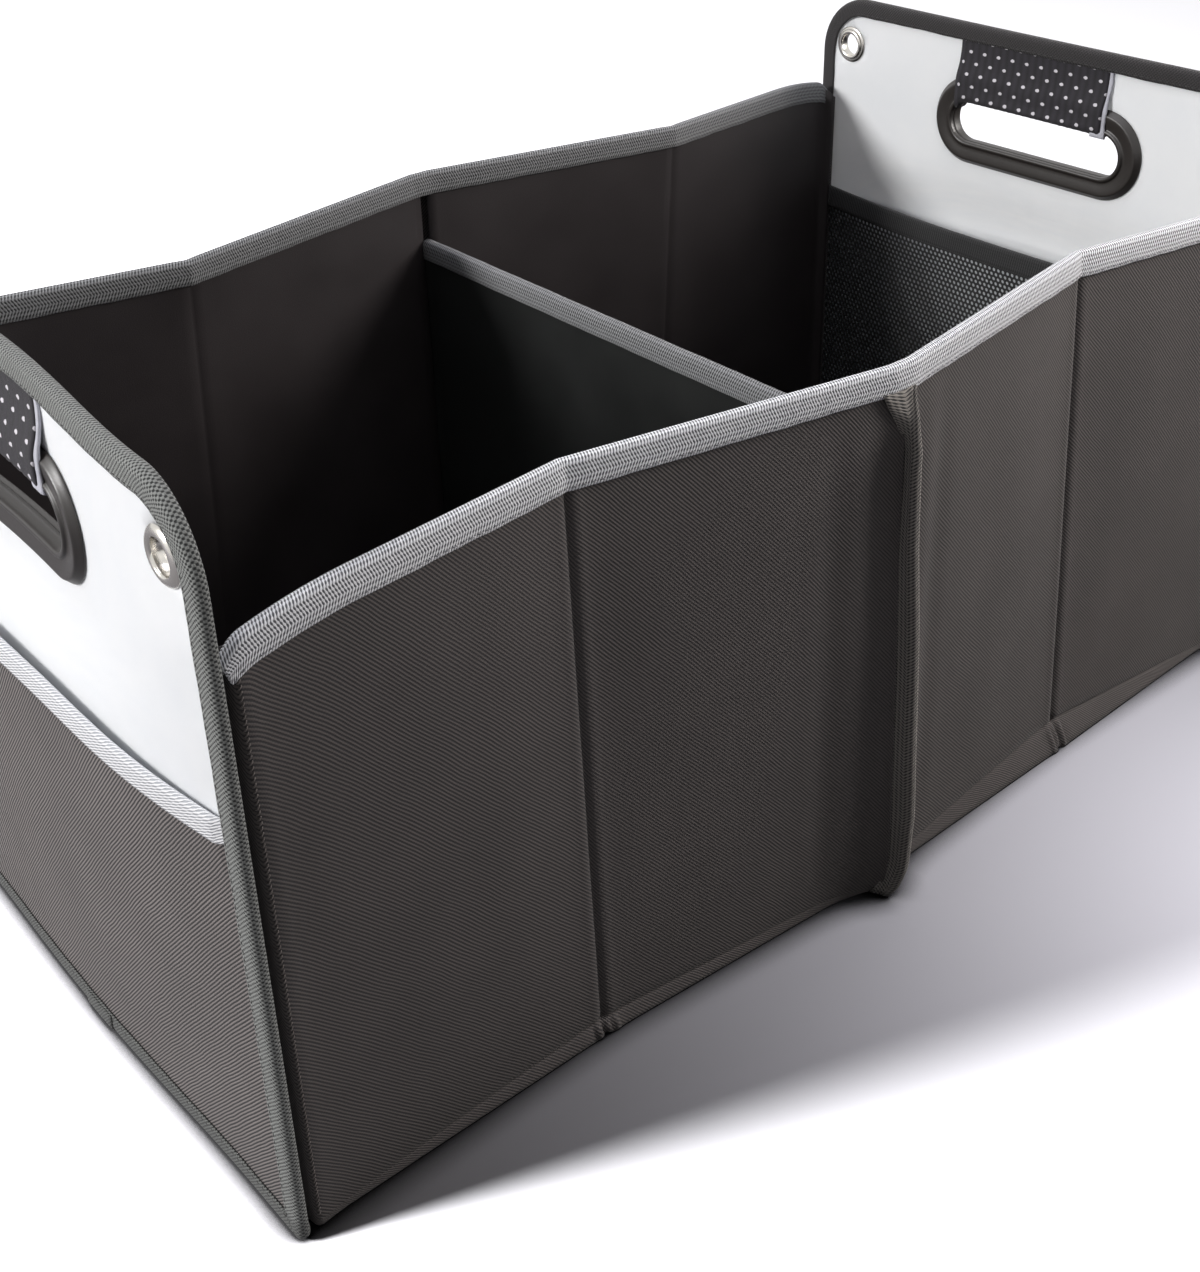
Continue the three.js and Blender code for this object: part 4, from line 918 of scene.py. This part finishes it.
coated = coated_cloth("coated_polyester_lining", "#211d1e", "#433e3f")
# The divider's copy of the lining is darker than the walls' lining: painted shade on the divider.
divider_cloth = coated_cloth("coated_polyester_lining_painted_shade", "#0b0c0c", "#232524")

lining_line = [(7.6, 157.3), (9.2, 157.5), (10.4, 159.4), (11.4, 161.2), (13, 161.9), (24, 161.9), (154, 161.9), (157, 162.1),
               (159, 163.0), (160, 163.4), (161, 163.0), (163, 162.1), (166, 161.9), (306, 161.9), (317.8, 161.9)]
for side_name, side in sides:
    for end_name, end in ends:
        fold = creases[side, end]
        grid = []
        for u, v in dense(lining_line, 5.0):
            grid.append([wall_point(end, side, min(u, 317), v - 0.35 * max(0.0, noise.noise(
                Vector((u * 0.03, z * 0.012, 7.0 + side + end * 0.5)))), z) + Vector((-end * max(0.0, u - 317), 0, 0))
                for z in wall_levels(fold, u, 1.4)])
        rows = [list(row) for row in zip(*grid)]
        rows = rows if end * side > 0 else [row[::-1] for row in rows]
        lining = woven_piece(f"{side_name}_{end_name}_wall_lining", rows, coated, thickness=0.6)
        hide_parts(f"{side_name}_wall_{end_name}_lining")
        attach(lining, "root")


# Wall boards: grey-brown fibreboard 2.4 mm thick, one on each side of a crease, shut in between the cloth and the
# lining. Pressed fibres give it a flecked, matt face.
fibreboard, tree = empty_tree("pressed_fibreboard")
fleck = node(tree, "ShaderNodeTexNoise", {"Scale": 700.0, "Detail": 4.0, "Roughness": 0.7})
strand = node(tree, "ShaderNodeTexVoronoi", {"Scale": 260.0})
speck = node(tree, "ShaderNodeMath", {0: fleck.outputs[0], 1: strand.outputs["Distance"]}, operation="MULTIPLY")
colour = node(tree, "ShaderNodeMix", {"Factor": speck.outputs[0], "A": linear("#7d7265"), "B": linear("#b3a793")},
              data_type="RGBA")
bumps = node(tree, "ShaderNodeBump", {"Height": fleck.outputs[0], "Strength": 0.3, "Distance": 0.0003})
skin = node(tree, "ShaderNodeBsdfPrincipled", {"Base Color": colour.outputs["Result"], "Roughness": 0.92,
            "Normal": bumps.outputs[0]})
node(tree, "ShaderNodeOutputMaterial", {"Surface": skin.outputs[0]})

for side_name, side in sides:
    for end_name, end in ends:
        fold = creases[side, end]
        for kind, start, stop in (("corner", 15.5, 154.5), ("centre", 165.5, 313.5)):
            rows = []
            for i in range(25):
                u = start + (stop - start) * i / 24
                low, high = board_foot(fold, u) + 2, wall_top(u) - 2
                rows.append([wall_point(end, side, u, 163.7, low + (high - low) * j / 12) for j in range(13)])
            board = woven_piece(f"{side_name}_{end_name}_{kind}_board_panel", rows, fibreboard, thickness=2.4)
            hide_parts(f"{side_name}_{end_name}_{kind}_board")
            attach(board, "root")


# Wall top tape: the same pale ribbed binding folded over the wall's upper edge from corner to corner, with one row
# of stitches, its ends turned down beside the end panels.
seam_tape = ribbed_tape("polypropylene_ribbed_tape_dark", "#8a857f", "#242221", 1.7, 0.8, 5.5)
back_tape = ribbed_tape("polypropylene_ribbed_tape_grey", "#8e8f91", "#232325", 1.5, -0.5, 5.0)
grey_thread, tree = empty_tree("spun_polyester_thread_grey")
twist = node(tree, "ShaderNodeTexNoise", {"Scale": 1800.0, "Detail": 2.0})
colour = node(tree, "ShaderNodeMix", {"Factor": twist.outputs[0], "A": linear("#77777a"), "B": linear("#a5a5a8")},
              data_type="RGBA")
skin = node(tree, "ShaderNodeBsdfPrincipled", {"Base Color": colour.outputs["Result"], "Roughness": 0.8})
node(tree, "ShaderNodeOutputMaterial", {"Surface": skin.outputs[0]})

tape_line = softened([(166.9, -10.0), (167.0, -6.5), (166.75, -2.5), (166.6, 0.2), (165.9, 1.4), (163.8, 1.8),
                      (161.7, 1.4), (161.0, 0.2), (160.8, -2.5), (160.7, -10.0)], 1)
for side_name, side in sides:
    stations = [6.4, 7.4, 8.6, 10, 12, 14, 16.5, 20, 25] + [30 + 5 * i for i in range(25)] + [
        153, 155.5, 157.5, 159, 160, 161, 162.5, 164.5, 167] + [172 + 5 * i for i in range(28)] + [311, 314, 317]
    run = [(-1, u) for u in stations] + [(-1, 320)] + [(1, u) for u in reversed(stations)]
    rows, seam = [], []
    for end, u in run:
        dip = 0.5 * max(0.0, 1 - abs(u - 160) / 7)
        at_end = max(0.0, 1 - (u - 6.4) / 12)
        row = []
        for v, rise in tape_line:
            cut = 1.5 * at_end * min(1.0, max(0.0, -rise / 10)) if v > 164 else 0.0
            if v > 164:
                v = v - dip + 0.5 * max(0.0, 1 - abs(u - 320) / 14) * min(1.0, max(0.0, -rise / 4))
            rise += turned_down(u) * min(1.0, max(0.0, -rise / 10)) * 0.9
            if rise < -5:
                rise = rise - 1.6 * at_end ** 2 + waver(u * 3 + end * 40, 0.25)
            point = wall_point(end, side, min(u, 314), v, wall_top(u) + rise)
            point.x = end * (half_length - u - cut)
            row.append(point)
        rows.append(row if side < 0 else row[::-1])
        front = wall_point(end, side, min(u, 314), 167.35 - dip, wall_top(u) - 8.6)
        front.x = end * (half_length - u)
        seam.append((front, Vector((0, side, 0))))
    binding = pale_tape if side < 0 else back_tape
    tape = woven_piece(f"{side_name}_wall_binding", rows, binding, thickness=0.8)
    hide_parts(f"{side_name}_wall_top_tape")
    stitches = stitched(f"{side_name}_wall_binding_stitches", seam[3:-3], grey_thread)
    for piece in (tape, stitches):
        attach(piece, "root")


# Centre seams: the wall cloths meet in a standing seam that is bound with dark herringbone tape. It leans to the far
# end, is laid flat and spread out where the top tape catches it, and curls in at the foot.
for side_name, side in sides:
    rows = []
    for i in range(90):
        z = 0.9 + 266.6 * i / 89
        root = centre_bulge + drawn_out(320, z)
        reach = table([(0, 7.5), (15, 8.6), (60, 9.4), (240, 9.4), (254, 6.2), (262, 2.8), (268, 1.0)], z)
        near_x = table([(0, -5.0), (9, -2.2), (22, -0.2), (150, -0.6), (238, -0.4), (245, -1.2), (253, -4.8), (261, -9.8),
                        (268, -13.5)], z) + 0.35 * math.sin(z * 0.06)
        edge_x = table([(0, -0.6), (9, 2.0), (22, 4.2), (50, 5.6), (100, 4.4), (150, 3.2), (195, 1.6), (235, 0.2), (252, 1.4),
                        (268, 4.6)], z) + 0.3 * math.sin(z * 0.047 + 1)
        wide = table([(0, 2.1), (40, 2.4), (230, 2.4), (262, 1.0), (268, 0.7)], z)
        over = edge_x - near_x
        line = softened([(near_x, 0.2), (near_x + 0.2, 0.5 + reach * 0.12), (near_x + over * 0.42, 0.5 + reach * 0.5),
                         (edge_x - wide * 0.9, reach * 0.88), (edge_x - wide * 0.5, reach + 0.5),
                         (edge_x + wide * 0.2, reach + 0.8), (edge_x + wide * 0.75, reach + 0.2),
                         (edge_x + wide, reach * 0.8), (edge_x + wide * 0.7, reach * 0.4), (wide + 1.4, 0.3)], 1)
        row = [Vector((x, side * (166 + root + rise), z)) for x, rise in line]
        rows.append(row if side > 0 else row[::-1])
    ridge = woven_piece(f"{side_name}_centre_seam_binding", rows, seam_tape, thickness=0.6)
    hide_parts(f"{side_name}_centre_seam_tape")
    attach(ridge, "root")


# Divider: one length of the coated lining folded under a fibreboard panel, sewn into both centre seams and bound
# along its top with mid-grey tape.
places = [175 + 7.5, 180, 177, 175.5, 174, 171, 168, 164] + [156 - 12 * i for i in range(13)]
places = [-y for y in places] + [12 * i for i in range(1, 14)][:12] + places[:8][::-1]
places = sorted(set(places))
rows = []
for y in places:
    half = 1.55 if abs(y) < 164 else 0.4 + 1.15 * max(0.0, min(1.0, (174 - abs(y)) / 10))
    half += 0.5 * max(0.0, 1 - (y / 165) ** 2) * max(0.0, noise.noise(Vector((y * 0.02, 0, 3)))) if abs(y) < 164 else 0
    down = [(half + (0.35 * max(0.0, noise.noise(Vector((y * 0.025, z * 0.02, 5)))) if abs(y) < 160 else 0), z)
            for z in [239 - 236 * i / 24 for i in range(25)]] + [(half * 0.8, 2.0), (half * 0.45, 1.5)]
    lean = 0.6 * max(0.0, abs(y) - 175)
    rows.append([Vector((lean - x, y, z)) for x, z in down] + [Vector((lean + x, y, z)) for x, z in reversed(down)])
divider = woven_piece("divider_lining_fold", rows, divider_cloth, thickness=0.5)
rows = []
line = softened([(-2.7, -9), (-2.8, -4), (-2.7, 0), (-1.9, 1.3), (0, 1.6), (1.9, 1.3), (2.7, 0), (2.8, -4), (2.7, -9)], 1)
for i in range(69):
    y = -170.2 + 340.4 * i / 68
    rows.append([Vector((x, y, 239 + rise + waver(y * 2, 0.15))) for x, rise in line])
divider_binding = woven_piece("divider_binding", rows, back_tape, thickness=0.8)
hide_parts("divider_cloth")
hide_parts("divider_top_tape")
for piece, finish in ((divider, "divider_cloth"), (divider_binding, "divider_tape")):
    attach(piece, "root")
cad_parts["divider_board"].data.materials.clear()
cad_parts["divider_board"].data.materials.append(fibreboard)


# Base cloth: the wall twill again, one piece under the boards, sewn to the foot of the walls all round.
def base_edge(side, x):
    end = -1 if x < 0 else 1
    u = min(half_length - abs(x), 317)
    if u < 14:
        v = 158.6 + (165.6 - 158.6) * max(0.0, (u - 7.4) / 6.6)
    else:
        v = 164.9
    return side * (v + drawn_out(u, 0.8) - inset(creases[side, end], u, 0.8))


rows = []
for i in range(105):
    x = -312.9 + 625.8 * i / 104
    front, back = base_edge(-1, x), base_edge(1, x)
    rows.append([Vector((x, front + (back - front) * j / 40, 0.45)) for j in range(41)])
base = woven_piece("base_twill", rows, wall_twill, thickness=0.7)
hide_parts("base_cloth")
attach(base, "root")


# Base boards: two loose fibreboard panels wrapped in the black lining, laid on the base cloth on either side of the
# divider. The wrap rounds their edges.
for end_name, end in ends:
    points = [(x, y, z) for x in sorted((end * 2.9, end * 311.1)) for y in (-150, 150) for z in (1.1, 4.1)]
    faces = [(0, 1, 3, 2), (4, 6, 7, 5), (0, 4, 5, 1), (2, 3, 7, 6), (0, 2, 6, 4), (1, 5, 7, 3)]
    corners = [(points[i][0] + points[i][2], points[i][1] + points[i][2]) for face in faces for i in face]
    panel = place_mesh(f"{end_name}_base_panel", points, faces, coated, corners=corners)
    wrap = panel.modifiers.new("rounded_wrap", "BEVEL")
    wrap.width = 0.001
    wrap.segments = 3
    wrap.harden_normals = True
    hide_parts(f"base_board_{end_name}")
    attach(panel, "root")
